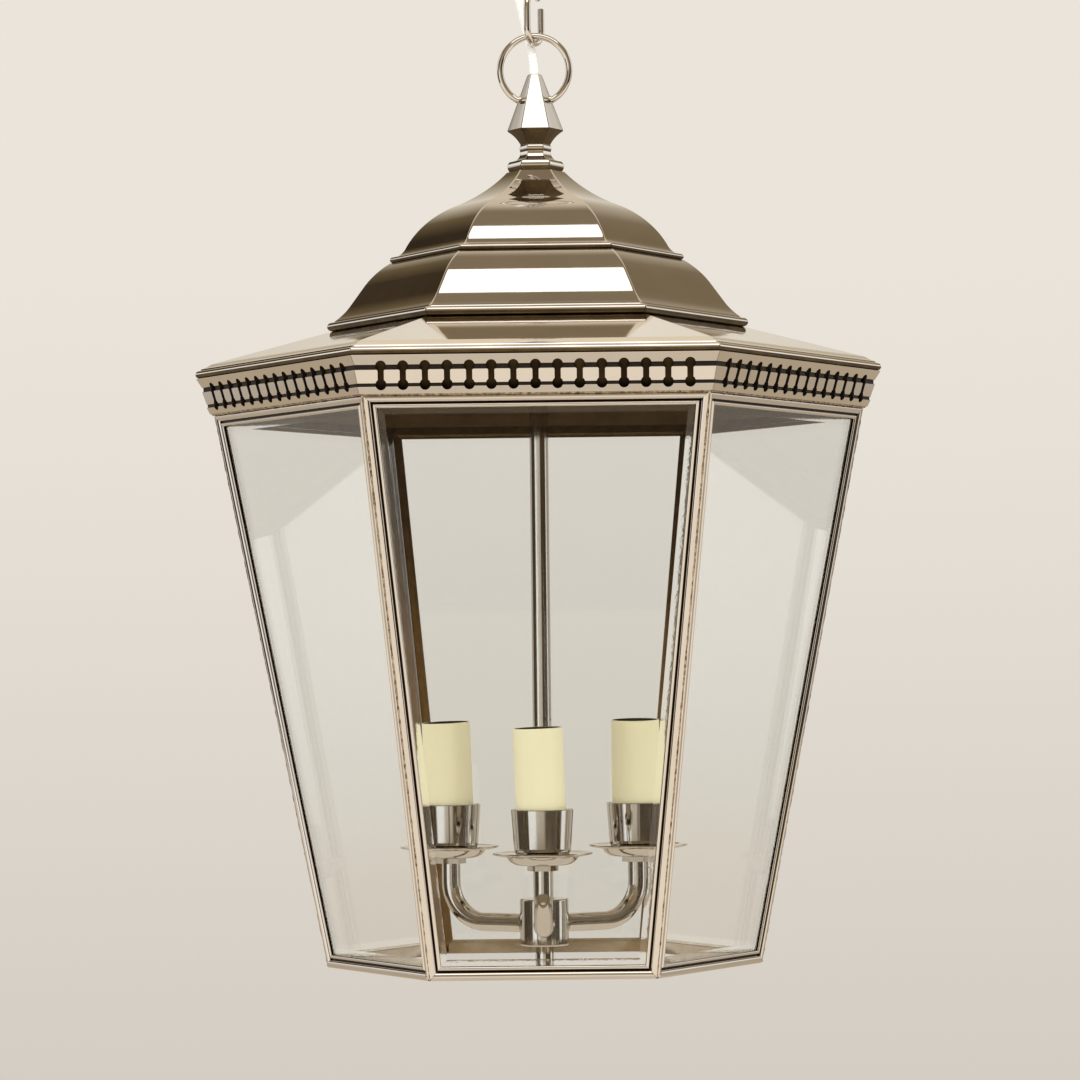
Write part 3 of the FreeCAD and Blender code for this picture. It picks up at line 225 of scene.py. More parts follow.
def clear_glass(name, roughness, wave_size, wave_depth):
    """Clear float glass. The flat keeps the slow waves of the sheet and the ground bevel keeps fine wheel
    marks that the felt did not take out. Light passes straight through it to the candles."""
    material, tree, shader, place = start_material(name)
    shader.inputs["Base Color"].default_value = linear("#FEFFFE")
    shader.inputs["Roughness"].default_value = roughness
    shader.inputs["IOR"].default_value = 1.52
    shader.inputs["Transmission Weight"].default_value = 1.0
    wave = add_node(tree, "ShaderNodeTexNoise", inputs={
        "Vector": place, "Scale": per_mm(wave_size), "Detail": 1.0})
    bump = add_node(tree, "ShaderNodeBump", inputs={
        "Strength": 0.6, "Distance": wave_depth * MM, "Height": wave.outputs["Fac"]})
    tree.links.new(bump.outputs["Normal"], shader.inputs["Normal"])
    path = add_node(tree, "ShaderNodeLightPath").outputs
    clear = add_node(tree, "ShaderNodeBsdfTransparent", inputs={"Color": linear("#F6F8F6")})
    unseen = add_node(tree, "ShaderNodeMath", {"operation": "MAXIMUM"}, {
        0: path["Is Shadow Ray"], 1: path["Is Diffuse Ray"]})
    both = add_node(tree, "ShaderNodeMixShader", inputs={
        0: unseen.outputs[0], 1: shader.outputs[0], 2: clear.outputs[0]})
    tree.links.new(both.outputs[0], tree.nodes["Material Output"].inputs["Surface"])
    return material


def ivory_sleeve():
    """Cream card sleeve with a wax coat: matt, a little translucent, with faint upright streaks of the
    rolled card."""
    material, tree, shader, place = start_material("ivory_sleeve")
    squeeze = add_node(tree, "ShaderNodeMapping", inputs={"Vector": place, "Scale": (1.0, 1.0, 0.06)})
    streak = add_node(tree, "ShaderNodeTexNoise", inputs={
        "Vector": squeeze.outputs[0], "Scale": per_mm(3.5), "Detail": 5.0, "Roughness": 0.6})
    colour = add_node(tree, "ShaderNodeMix", {"data_type": "RGBA"}, {
        0: streak.outputs["Fac"], 6: linear("#FAEAC4"), 7: linear("#FFF5D3")})
    grain = add_node(tree, "ShaderNodeTexNoise", inputs={
        "Vector": place, "Scale": per_mm(0.7), "Detail": 3.0})
    bump = add_node(tree, "ShaderNodeBump", inputs={
        "Strength": 0.25, "Distance": 0.05 * MM, "Height": grain.outputs["Fac"]})
    shader.inputs["Roughness"].default_value = 0.48
    shader.inputs["Subsurface Weight"].default_value = 0.15
    shader.inputs["Subsurface Radius"].default_value = (1.0, 0.7, 0.3)
    shader.inputs["Subsurface Scale"].default_value = 1.2 * MM
    tree.links.new(colour.outputs[2], shader.inputs["Base Color"])
    tree.links.new(bump.outputs["Normal"], shader.inputs["Normal"])
    return material


def clear_vinyl():
    """Extruded clear vinyl sheath of the flex: milky, glossy, with fine lines along the draw."""
    material, tree, shader, place = start_material("clear_vinyl")
    shader.inputs["Base Color"].default_value = linear("#FBFAF8")
    shader.inputs["IOR"].default_value = 1.5
    shader.inputs["Transmission Weight"].default_value = 0.12
    cloud = add_node(tree, "ShaderNodeTexNoise", inputs={"Vector": place, "Scale": per_mm(4), "Detail": 3.0})
    rough = add_node(tree, "ShaderNodeMapRange", inputs={
        "Value": cloud.outputs["Fac"], "To Min": 0.08, "To Max": 0.22})
    bump = add_node(tree, "ShaderNodeBump", inputs={
        "Strength": 0.4, "Distance": 0.06 * MM, "Height": cloud.outputs["Fac"]})
    tree.links.new(rough.outputs["Result"], shader.inputs["Roughness"])
    tree.links.new(bump.outputs["Normal"], shader.inputs["Normal"])
    return material


def clouded(name, size, detail, grain, shades, roughness, metallic=0.0, bump=None, spread=None, specular=0.5):
    """A material that wanders between two shades in clouds of one size. roughness is one number or the two
    that go with the shades, bump a strength and a depth, and spread the part of the cloud that the shades
    take up."""
    material, tree, shader, place = start_material(name)
    shader.inputs["Metallic"].default_value = metallic
    shader.inputs["Specular IOR Level"].default_value = specular
    cloud = add_node(tree, "ShaderNodeTexNoise", inputs={
        "Vector": place, "Scale": per_mm(size), "Detail": detail, "Roughness": grain}).outputs["Fac"]
    share = cloud
    if spread:
        share = add_node(tree, "ShaderNodeMapRange", inputs={
            "Value": cloud, "From Min": spread[0], "From Max": spread[1]}).outputs["Result"]
    colour = add_node(tree, "ShaderNodeMix", {"data_type": "RGBA"}, {
        0: share, 6: linear(shades[0]), 7: linear(shades[1])})
    tree.links.new(colour.outputs[2], shader.inputs["Base Color"])
    if isinstance(roughness, tuple):
        rough = add_node(tree, "ShaderNodeMapRange", inputs={
            "Value": cloud, "To Min": roughness[0], "To Max": roughness[1]})
        tree.links.new(rough.outputs["Result"], shader.inputs["Roughness"])
    else:
        shader.inputs["Roughness"].default_value = roughness
    if bump:
        relief = add_node(tree, "ShaderNodeBump", inputs={
            "Strength": bump[0], "Distance": bump[1] * MM, "Height": cloud})
        tree.links.new(relief.outputs["Normal"], shader.inputs["Normal"])
    return material


NICKEL = polished_nickel()
# The roof skirt takes a lighter copy of the polished nickel, as painted light
LIT_SKIRT_NICKEL = polished_nickel("skirt_nickel_painted_light", dull="#EDE6DB", bright="#F7F4EF")
WIRE_NICKEL = polished_nickel("drawn_wire_nickel", roughness=0.06, ripple=0.02)
TURNED_NICKEL = polished_nickel("turned_nickel", roughness=0.045, ripple=0.03)
# The bars' inside is partly a real duller, stained skin and partly painted: darker and browner on the posts
# and top rail as painted shade, lighter on the bottom rail as painted light
SHADED_BAR_NICKEL = frame_nickel("frame_nickel", "#C5A46F", "#6B5030", 0.3)
LIT_SILL_NICKEL = frame_nickel("lit_sill_nickel", "#E9DFCF", "#BBAA90", 0.14)
LINER_BRASS = liner_brass_painted_shade()
GLASS = clear_glass("float_glass", 0.0, 70, 0.05)
BEVEL = clear_glass("ground_bevel", 0.05, 1.4, 0.02)
SLEEVE = ivory_sleeve()
VINYL = clear_vinyl()
# Brass sheet that was never plated or mopped: brown with oxide, clouded and almost matt. The crown washer and
# nut take it as their own colour; the roof's and finial's faces that look down take it as painted shade
DULL_BRASS_AND_SHADE = clouded("dulled_brass_and_painted_shade", 16, 8.0, 0.65, ("#2E2417", "#7D6B4E"), (0.55, 0.32), metallic=1.0)
# Painted shade in the pierced slots' walls and the grooves under the steps: brown-black and nearly matt
SLOT_SHADE = clouded("slot_painted_shade", 2.5, 5.0, 0.65, ("#0B0806", "#2B1F16"), 0.6, bump=(0.4, 0.1), specular=0.25)
# Tin-lead solder run into the joints and scraped back: lumpy, grey, stained red-brown by flux
SOLDER = clouded("soft_solder", 2.2, 5.0, 0.6, ("#5A3C28", "#C9BBA6"), 0.24, metallic=1.0, bump=(0.8, 0.35),
                 spread=(0.35, 0.62))
# Inside of the card sleeve: dark brown, dry and blotchy
SLEEVE_BORE = clouded("dark_sleeve_bore", 4, 5.0, 0.6, ("#1E1813", "#4A3D31"), 0.8, bump=(0.3, 0.05))
# Moulded phenolic resin: black, half gloss, with the slight orange peel and dust of a lampholder
PHENOLIC = clouded("black_phenolic", 1.2, 3.0, 0.5, ("#0E0D0C", "#24211E"), 0.38, bump=(0.3, 0.03))
# Thin brass, roll-threaded for a lamp cap: yellow, bright on the crests and darker in the roots
THREAD_BRASS = clouded("rolled_brass", 3, 4.0, 0.5, ("#A5803A", "#D9B868"), 0.22, metallic=1.0)
# Tinned copper strands twisted in a pale skin, seen through the sheath: silvery with dark lines
CORE = clouded("tinned_core", 0.9, 3.0, 0.5, ("#DAD6CF", "#F6F4F1"), 0.3, metallic=0.25)


# Outlines and shapes; a shape is a list of points and a list of faces

def bow(start, end, rise, steps):
    """Points of an arc from start to end that stands off its chord by rise, to the left of the way."""
    chord = Vector(end) - Vector(start)
    middle = (Vector(start) + Vector(end)) / 2
    left = Vector((-chord.y, chord.x)).normalized()
    radius = (chord.length ** 2 / 4 + rise ** 2) / (2 * abs(rise))
    centre = middle + left * (rise - math.copysign(radius, rise))
    half = math.asin(min(1.0, chord.length / 2 / radius))
    away = left * math.copysign(radius, rise)
    along = chord.normalized()
    points = []
    for step in range(steps + 1):
        turn = half * (2 * step / steps - 1)
        points.append(tuple(centre + away * math.cos(turn) + along * radius * math.sin(turn)))
    return points


def softened(outline, radius, steps=3):
    """A closed outline with each corner rounded off by at most this radius."""
    count = len(outline)
    result = []
    for index, corner in enumerate(outline):
        corner = Vector(corner)
        back = Vector(outline[index - 1]) - corner
        ahead = Vector(outline[(index + 1) % count]) - corner
        angle = back.angle(ahead)
        if angle > math.radians(165):
            result.append(tuple(corner))
            continue
        trim = min(radius / math.tan(angle / 2), back.length * 0.45, ahead.length * 0.45)
        first = corner + back.normalized() * trim
        last = corner + ahead.normalized() * trim
        for step in range(steps + 1):
            share = step / steps
            result.append(tuple(first.lerp(corner, share).lerp(corner.lerp(last, share), share)))
    return result


def hexagon_ring(apothem, level, corner, arc_steps, side_steps):
    """One course of a hexagonal form, with corners rounded to the radius corner."""
    corner = min(corner, apothem * 0.9)
    centre = (apothem - corner) / FLAT
    points = []
    for side in range(SIDES):
        middle = math.radians(SIDE_TURN * side)
        arc = []
        for step in range(arc_steps + 1):
            turn = middle + math.radians(SIDE_TURN) * (step / arc_steps - 0.5)
            arc.append(Vector((centre * math.cos(middle) + corner * math.cos(turn),
                               centre * math.sin(middle) + corner * math.sin(turn), level)))
        ahead = math.radians(SIDE_TURN * (side + 1))
        turn = ahead - math.radians(SIDE_TURN / 2)
        end = Vector((centre * math.cos(ahead) + corner * math.cos(turn),
                      centre * math.sin(ahead) + corner * math.sin(turn), level))
        points += arc
        points += [arc[-1].lerp(end, step / side_steps) for step in range(1, side_steps)]
    return points


def round_ring(radius, level, steps):
    turns = [2 * math.pi * step / steps for step in range(steps)]
    return [Vector((radius * math.cos(turn), radius * math.sin(turn), level)) for turn in turns]


def skin(rings, closed=True):
    """Quads between rings of equal length; closed joins the last ring to the first."""
    width = len(rings[0])
    points = [point for ring in rings for point in ring]
    faces = []
    for row in range(len(rings) if closed else len(rings) - 1):
        base = row * width
        above = (row + 1) % len(rings) * width
        for index in range(width):
            after = (index + 1) % width
            faces.append((base + index, base + after, above + after, above + index))
    return points, faces


def make_piece(name, shape, material, nodes=(), body="lantern", sharp=38):
    """A mesh from points in millimetres above the frame's foot, riding on a body of the lantern."""
    points, faces = shape
    mesh = bpy.data.meshes.new(name)
    mesh.from_pydata([(p[0] * MM, p[1] * MM, height(p[2])) for p in points], [], faces)
    mesh.validate()
    work = bmesh.new()
    work.from_mesh(mesh)
    bmesh.ops.remove_doubles(work, verts=work.verts, dist=0.002 * MM)
    bmesh.ops.recalc_face_normals(work, faces=work.faces)
    work.to_mesh(mesh)
    work.free()
    mesh.shade_smooth()
    mesh.set_sharp_from_angle(angle=math.radians(sharp))
    mesh.materials.append(material)
    piece = bpy.data.objects.new(name, mesh)
    bpy.context.scene.collection.objects.link(piece)
    if body:
        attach(piece, body)
        even = piece.modifiers.new("even_flats", "WEIGHTED_NORMAL")
        even.keep_sharp = True
    if nodes:
        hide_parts(*nodes)
    return piece


def turned(outline, steps=72):
    """A turned form from its closed half section of radius and level."""
    return skin([round_ring(radius, level, steps) for radius, level in outline])


def hexagonal(outline, corner, arc_steps=6, side_steps=6):
    """A hexagonal form from its closed section of apothem and level."""
    return skin([hexagon_ring(apothem, level, corner, arc_steps, side_steps) for apothem, level in outline])


def prism(near, far):
    """A solid between two outlines with the same number of points."""
    count = len(near)
    faces = [(i, (i + 1) % count, (i + 1) % count + count, i + count) for i in range(count)]
    faces += [tuple(range(count)), tuple(range(2 * count - 1, count - 1, -1))]
    return near + far, faces


def tube(path, radius, steps=24):
    """A round bar along a path of points; radius is one number or one for each point."""
    radii = radius if isinstance(radius, list) else [radius] * len(path)
    path = [Vector(point) for point in path]
    heading = (path[1] - path[0]).normalized()
    side = heading.orthogonal().normalized()
    rings = []
    for index, point in enumerate(path):
        before = path[max(index - 1, 0)]
        after = path[min(index + 1, len(path) - 1)]
        turned_heading = (after - before).normalized()
        side = heading.rotation_difference(turned_heading) @ side
        heading = turned_heading
        other = heading.cross(side)
        turns = [2 * math.pi * step / steps for step in range(steps)]
        rings.append([point + (side * math.cos(t) + other * math.sin(t)) * radii[index] for t in turns])
    points, faces = skin(rings, closed=False)
    faces.append(tuple(reversed(range(steps))))
    faces.append(tuple(range(len(points) - steps, len(points))))
    return points, faces


def joined(*shapes):
    """Several shapes as one."""
    points = []
    faces = []
    for shape_points, shape_faces in shapes:
        shift = len(points)
        points += list(shape_points)
        faces += [tuple(index + shift for index in face) for face in shape_faces]
    return points, faces


def placed(shape, x, y, turn=0):
    """A shape turned about the axis and moved to a light."""
    points, faces = shape
    move = Matrix.Translation((x, y, 0)) @ Matrix.Rotation(math.radians(turn), 4, "Z")
    return [move @ Vector(point) for point in points], faces


def light_spot(light):
    turn = math.radians(FIRST_LIGHT + 360 / LIGHTS * light)
    return ARM_REACH * math.cos(turn), ARM_REACH * math.sin(turn)


def leaned(shape, light, lift=0.0):
    """An upright shape moved to a light and tipped a little about its foot."""
    points, faces = shape
    x, y = light_spot(light)
    left, forward = SLEEVE_LEANS[light]
    foot = Matrix.Translation((x, y, SLEEVE_SEAT + lift))
    tip = Matrix.Rotation(math.radians(-left), 4, "Y") @ Matrix.Rotation(math.radians(forward), 4, "X")
    to_foot = Matrix.Translation((0, 0, -SLEEVE_SEAT))
    return [foot @ tip @ to_foot @ Vector(point) for point in points], faces


# Roof

def paint_undersides_shaded(piece):
    """Paint the faces that look down in dull dark brass, as painted shade under the lips, in the roof and on
    the finial.
    """
    piece.data.materials.append(DULL_BRASS_AND_SHADE)
    for face in piece.data.polygons:
        if face.normal.z < -0.1:
            face.material_index = 1


def roof_skirt():
    rim = 181.7 * FLAT
    kink = 175.0 * FLAT
    bore = 97.0 * FLAT
    kink_level = GALLERY_TOP + 7.7
    fall = (ROOF_SEAT - kink_level) / (kink - LOWER_LIP_RADIUS * FLAT)
    bore_level = kink_level + (kink - bore) * fall
    foot = GALLERY_TOP + 0.1
    outline = [(bore, bore_level), (bore, bore_level - SHEET)]
    outline += [(kink - SHEET, kink_level - 1.0), (rim - 4.4, foot)]
    outline += bow((rim, foot), (rim, foot + 4.1), -1.85, 10)
    outline += [(rim - 0.7, foot + 4.4)]
    outline += bow((rim - 0.9, foot + 4.9), (kink, kink_level), 0.25, 4)
    sheet = make_piece("roof_skirt_sheet", hexagonal(outline, 1.2), LIT_SKIRT_NICKEL, ["roof_skirt"], sharp=26)
    paint_undersides_shaded(sheet)


def roof_lower_tier():
    lip = LOWER_LIP_RADIUS * FLAT
    top = 79.0 * FLAT
    seat = ROOF_SEAT + 0.1
    outline = [(lip - 4, seat + 1.0)]
    outline += bow((lip, seat), (lip, seat + 4.7), -2.45, 12)
    outline += [(lip - 0.9, seat + 4.75), (lip - 1.2, seat + 5.3)]
    flare = (lip - 8.6, seat + 13.7)
    brow = (lip - 15.2, seat + 24.1)
    outline += bow((lip - 1.6, seat + 5.7), flare, 0.45, 12)
    outline += bow(brow, (top, LOWER_TOP - 0.1), -0.82, 14)
    outline += [(top - 10, LOWER_TOP), (top - 10, LOWER_TOP - SHEET), (top - SHEET, LOWER_TOP - SHEET)]
    outline += [(brow[0] - SHEET, brow[1] - SHEET), (flare[0] - SHEET, flare[1] - SHEET)]
    outline += [(lip - 4, seat + 3.5)]
    sheet = make_piece("roof_lower_sheet", hexagonal(outline, 1.6), NICKEL, ["roof_lower_tier"], sharp=30)
    paint_undersides_shaded(sheet)


def roof_upper_tier():
    lip = 77.0 * FLAT
    foot = LOWER_TOP + 0.1
    hip = (70.2 * FLAT, CROWN - 39.4)
    shoulder = (44.0 * FLAT, CROWN - 17.8)
    crown = (15.8 * FLAT, CROWN)
    hole = 6.0
    outline = [(lip - 4, foot)]
    outline += bow((lip, foot), (lip, foot + 3.2), -1.75, 10)
    outline += [(lip - 0.8, foot + 3.3)]
    outline += bow((lip - 1.9, foot + 3.5), hip, 0.5, 12)
    outline += bow(hip, shoulder, -2.69, 20)[1:]
    outline += bow(shoulder, crown, 1.75, 20)[1:]
    under_crown = (crown[0] - SHEET, CROWN - SHEET)
    outline += [(hole, CROWN), (hole, CROWN - SHEET), under_crown]
    outline += bow(under_crown, (shoulder[0] - SHEET, shoulder[1] - SHEET), -1.75, 10)[1:]
    outline += [(hip[0] - SHEET, hip[1] - SHEET), (lip - 4, foot + 2.2)]
    sheet = make_piece("roof_upper_sheet", hexagonal(outline, 1.6), NICKEL, ["roof_upper_tier"], sharp=30)
    paint_undersides_shaded(sheet)


def finial():
    """Cast hexagonal finial with fettled, slightly rounded edges."""
    profile = [(5.3, 0.0)] + bow((14.3, 0.2), (14.3, 5.4), -1.05, 10)
    profile += bow((12.9, 5.7), (8.2, 10.6), 1.3, 8)
    profile += bow((8.2, 10.8), (8.2, 14.2), -0.5, 6)
    profile += bow((8.0, 14.5), (14.9, 21.8), 0.7, 8)
    profile += [(15.2, 22.4), (14.9, 23.2), (4.0, 52.0), (3.5, 52.4), (2.8, 52.4), (2.8, 44.0), (5.3, 9.0)]
    shape = skin([hexagon_ring(radius * FLAT, FINIAL_FOOT + rise, max(0.5, radius * 0.09), 4, 3)
                  for radius, rise in profile])
    for side in (1, -1):
        shape = joined(shape, tube([(side * 5.5, 0, PIVOT), (side * 8.6, 0, PIVOT)], 2.45, 20))
    paint_undersides_shaded(make_piece("finial_casting", shape, TURNED_NICKEL, ["finial"], sharp=30))


# Gallery

SLOTS = 15
SLOT_PITCH = 11.0
SLOT_EYE = 2.75
SLOT_NECK = 1.55
LOW_EYES = FRAME_HEIGHT + 4.6
HIGH_EYES = FRAME_HEIGHT + 13.7
# Room round the row of slots: half its length, and its levels
SLOT_ROW_HALF = 83
SLOT_ROW_LEVELS = (297.4, 313.2)
# Levels of the grooves under the strip's two steps
LOWER_GROOVE = (299.6, 301.3)
UPPER_GROOVE = (308.0, 310.4)


def dog_bone(centre):
    """Outline of one slot: a round eye above, a round eye below and a straight neck between them."""
    neck = math.degrees(math.asin(SLOT_NECK / SLOT_EYE))
    turns = [math.radians(neck + (360 - 2 * neck) * step / 20) for step in range(21)]
    upper = [(centre + SLOT_EYE * math.sin(t), HIGH_EYES - SLOT_EYE * math.cos(t)) for t in turns]
    lower = [(centre - SLOT_EYE * math.sin(t), LOW_EYES + SLOT_EYE * math.cos(t)) for t in turns]
    return upper + lower


def shade_slots(strip, turn):
    """Paint the slots' walls and the grooves under the steps brown-black, as painted shade."""
    strip.data.materials.append(SLOT_SHADE)
    out = Vector((math.sin(turn), -math.cos(turn), 0))
    along = Vector((math.cos(turn), math.sin(turn), 0))
    low, high = SLOT_ROW_LEVELS
    for face in strip.data.polygons:
        level = face.center.z / MM + HANG_HEIGHT
        in_row_of_slots = abs(face.center.dot(along)) < SLOT_ROW_HALF * MM and low < level < high
        in_upper_groove = UPPER_GROOVE[0] - 0.05 < level < UPPER_GROOVE[1] - 0.05
        in_lower_groove = LOWER_GROOVE[0] - 0.05 < level < LOWER_GROOVE[1] + 0.05
        in_groove = in_upper_groove or in_lower_groove
        if (in_row_of_slots and abs(face.normal.dot(out)) < 0.3) or (in_groove and face.normal.dot(out) > 0):
            face.material_index = 1


def bench_object(name, shape):
    """An object for the bench only, with its faces turned outwards."""
    mesh = bpy.data.meshes.new(name)
    mesh.from_pydata(shape[0], [], shape[1])
    work = bmesh.new()
    work.from_mesh(mesh)
    bmesh.ops.recalc_face_normals(work, faces=work.faces)
    work.to_mesh(mesh)
    work.free()
    item = bpy.data.objects.new(name, mesh)
    bpy.context.scene.collection.objects.link(item)
    return item


def gallery_strips():
    """Leaning stepped strips, pierced with dog-bone slots whose edges were eased with a file."""
    top = 183.4 * FLAT
    foot = FRAME_HEIGHT + 0.1
    step_out = top - 2.7
    lower_out = step_out - 2.2
    foot_out = 176.0 * FLAT
    back = 150.95 - 2.6
    profile = softened([
        (top - 2.2, GALLERY_TOP), (top, GALLERY_TOP), (step_out, UPPER_GROOVE[1]), (step_out - 0.7, 310.3),
        (step_out - 0.7, 308.2), (step_out - 0.1, UPPER_GROOVE[0]), (lower_out, LOWER_GROOVE[1]),
        (lower_out - 0.5, 301.1), (lower_out - 0.5, 299.8), (lower_out, LOWER_GROOVE[0]),
        (foot_out, foot), (back, foot)], 0.22, 2)
    left, right = ([(side * (out * SLANT - 0.1), -out, level) for out, level in profile] for side in (-1, 1))
    slots = []
    for slot in range(SLOTS):
        outline = dog_bone(SLOT_PITCH * (slot - SLOTS // 2))
        slots.append(prism([(x, -top - 5, z) for x, z in outline], [(x, -top + 20, z) for x, z in outline]))
    blank = bench_object("strip", prism(left, right))
    tool = bench_object("cutter", joined(*slots))
    pierce = blank.modifiers.new("pierce", "BOOLEAN")
    pierce.object = tool
    pierce.solver = "EXACT"
    ease = blank.modifiers.new("ease", "BEVEL")
    ease.width = 0.16
    ease.segments = 2
    ease.limit_method = "ANGLE"
    ease.angle_limit = math.radians(50)
    bpy.context.view_layer.update()
    pierced = bpy.data.meshes.new_from_object(blank.evaluated_get(bpy.context.evaluated_depsgraph_get()))
    for item in (blank, tool):
        bpy.data.objects.remove(item)
    shape = ([vertex.co.copy() for vertex in pierced.vertices],
             [tuple(polygon.vertices) for polygon in pierced.polygons])
    for side in range(SIDES):
        name = "gallery_strip_%d" % (side + 1)
        piece = make_piece("pierced_" + name, placed(shape, 0, 0, SIDE_TURN * side), NICKEL, [name], sharp=32)
        shade_slots(piece, math.radians(SIDE_TURN * side))


# Panes

def pane_corners(inset, depth):
    """Corners of a pane on the front side, set in from the frame's edges and sunk behind its face."""
    spread = (SHOULDER_RADIUS - FOOT_RADIUS) / 2
    slope = math.hypot(FRAME_HEIGHT, spread * 2 * FLAT)
    lean = math.atan2(spread * 2 * FLAT, FRAME_HEIGHT)
    slant = math.atan2(spread, slope)
    foot = FOOT_RADIUS / 2 - inset / math.tan(math.radians(45) + slant / 2)
    top = SHOULDER_RADIUS / 2 - inset / math.tan(math.radians(45) - slant / 2)
    corners = []
    for across, up in ((-foot, inset), (foot, inset), (top, slope - inset), (-top, slope - inset)):
        out = FOOT_RADIUS * FLAT + up * math.sin(lean) - depth * math.cos(lean)
        corners.append(Vector((across, -out, up * math.cos(lean) + depth * math.sin(lean))))
    return corners


# Inset from the frame's edges and depth behind its face, from the bevel's inner edge to the pane's back
PANE_SECTION = [(10.4, 2.9), (5.5, 3.1), (5.3, 3.3), (5.3, 5.7), (5.5, 5.9)]


def glass_panes():
    """Panes with a shallow bevel ground round the outer face and arrised edges."""
    rings = [pane_corners(inset, depth) for inset, depth in PANE_SECTION]
    points, faces = skin(rings, closed=False)
    faces += [(3, 2, 1, 0), tuple(range(len(points) - 4, len(points)))]
    for side in range(SIDES):
        node = "glass_pane_%d" % (side + 1)
        shape = placed((points, faces), 0, 0, SIDE_TURN * side)
        pane = make_piece("bevelled_" + node, shape, GLASS, [node], sharp=1)
        pane.data.materials.append(BEVEL)
        for face in pane.data.polygons[:4]:
            face.material_index = 1


# Solder

BEAD_STEP = 1.6
BEAD_STRAY = 0.12
BEAD_LUMPS = 0.45


def bead(start, end, radius, seed):
    """A lumpy run of solder between two points."""
    start = Vector(start)
    end = Vector(end)
    steps = int((end - start).length / BEAD_STEP)
    path = []
    radii = []
    for step in range(steps + 1):
        spot = start.lerp(end, step / steps)
        lump = noise.noise(spot * 0.35 + Vector((seed, 0, 0)))
        stray = Vector((noise.noise(spot * 0.2), noise.noise(spot * 0.2 + Vector((9, 9, seed))), 0))
        path.append(spot + stray * BEAD_STRAY)
        radii.append(radius * (1 + BEAD_LUMPS * lump))
    return tube(path, radii, 10)


def solder_runs():
    """Seams down the corner posts, and the run under the gallery where it was sweated to the rails."""
    posts = []
    runs = []
    foot = FOOT_RADIUS - 1.25
    top = SHOULDER_RADIUS - 1.25
    ledge = SHOULDER_RADIUS + 0.2
    ledge_level = FRAME_HEIGHT + 0.1
    for side in range(SIDES):
        turn = math.radians(SIDE_TURN * side)
        ahead = math.radians(SIDE_TURN * (side + 1))
        posts.append(bead((foot * math.cos(turn), foot * math.sin(turn), 1.0),
                          (top * math.cos(turn), top * math.sin(turn), FRAME_HEIGHT - 1.0), 0.62, side))
        runs.append(bead((ledge * math.cos(turn), ledge * math.sin(turn), ledge_level),
                         (ledge * math.cos(ahead), ledge * math.sin(ahead), ledge_level), 0.75, side + 20))
    make_piece("corner_solder", joined(*posts), SOLDER)
    make_piece("gallery_solder", joined(*runs), SOLDER)


# Ring, link and flex

WIRE_RADIUS = 1.75


def arc_path(centre, radius, first, last, steps):
    """Points on a circle in the XZ plane, from one angle to another in degrees."""
    turns = [math.radians(first + (last - first) * step / steps) for step in range(steps + 1)]
    return [Vector((centre[0] + radius * math.cos(t), 0, centre[1] + radius * math.sin(t))) for t in turns]


def hanging_ring():
    """Wire ring whose ends turn in and sit in the finial."""
    radius = 18.5
    bend = 2.2
    end = 4.8
    drop = RING_CENTRE - PIVOT - bend
    bend_x = math.sqrt((radius - bend) ** 2 - drop ** 2)
    start = math.degrees(math.atan2(-drop, bend_x))
    path = [Vector((end, 0, PIVOT)), Vector((bend_x * 0.6, 0, PIVOT))]
    path += arc_path((bend_x, PIVOT + bend), bend, -90, start, 6)
    path += arc_path((0, RING_CENTRE), radius, start, 180 - start, 72)[1:]
    path += arc_path((-bend_x, PIVOT + bend), bend, 180 - start, 270, 6)[1:]
    path += [Vector((-bend_x * 0.6, 0, PIVOT)), Vector((-end, 0, PIVOT))]
    make_piece("ring_wire", tube(path, WIRE_RADIUS), WIRE_NICKEL, ["hanging_ring"], body="hanging_ring")


def chain_link():
    """Oval wire link, left open at one shoulder, with dressed wire ends."""
    half = 7.75
    low = LINK_FOOT + half
    high = low + 11.0
    turn_of_link = 62
    dressed_end = 1.35
    opening = math.degrees(6.0 / half)
    path = [Vector((half, 0, high + 0.8)), Vector((half, 0, high + 0.4)), Vector((half, 0, low + 4))]
    path += arc_path((0, low), half, 0, -180, 36)
    path += [Vector((-half, 0, low + 4)), Vector((-half, 0, high - 3))]
    path += arc_path((0, high), half, 180, opening + 3, 30)
    path += arc_path((0, high), half, opening + 1.1, opening, 1)
    radii = [dressed_end] + [WIRE_RADIUS] * (len(path) - 2) + [dressed_end]
    make_piece("link_wire", placed(tube(path, radii), 0, 0, turn_of_link), WIRE_NICKEL, ["chain_link"],
               body="chain_link")


# Route of the flex from the finial's tip: out of its bore, behind the ring and past the link
FLEX_ROUTE = [(0, 0, -11.4), (0, 0, 3.6), (-2.8, 7.8, 18.6), (-5.6, 10.4, 31.6), (-8.0, 10.0, 42.6),
              (-9.8, 9.4, 52.6), (-10.9, 8.6, 61.55)]
FLEX_DIAMETER = 5.0
CORE_TWIST = 22.0
CORE_OFFSET = 1.05
CORE_RADIUS = 0.95


def flex_line():
    """The flex's centreline, read from a spline whose control points are the route."""
    curve = bpy.data.curves.new("flex_line", "CURVE")
    curve.dimensions = "3D"
    curve.resolution_u = 16
    spline = curve.splines.new("NURBS")
    spline.points.add(len(FLEX_ROUTE) - 1)
    for point, (x, y, z) in zip(spline.points, FLEX_ROUTE):
        point.co = (x, y, FINIAL_TIP + z, 1)
    spline.order_u = 3
    spline.use_endpoint_u = True
    line = bpy.data.objects.new("flex_line", curve)
    mesh = bpy.data.meshes.new_from_object(line)
    points = [vertex.co.copy() for vertex in mesh.vertices]
    bpy.data.objects.remove(line)
    return points


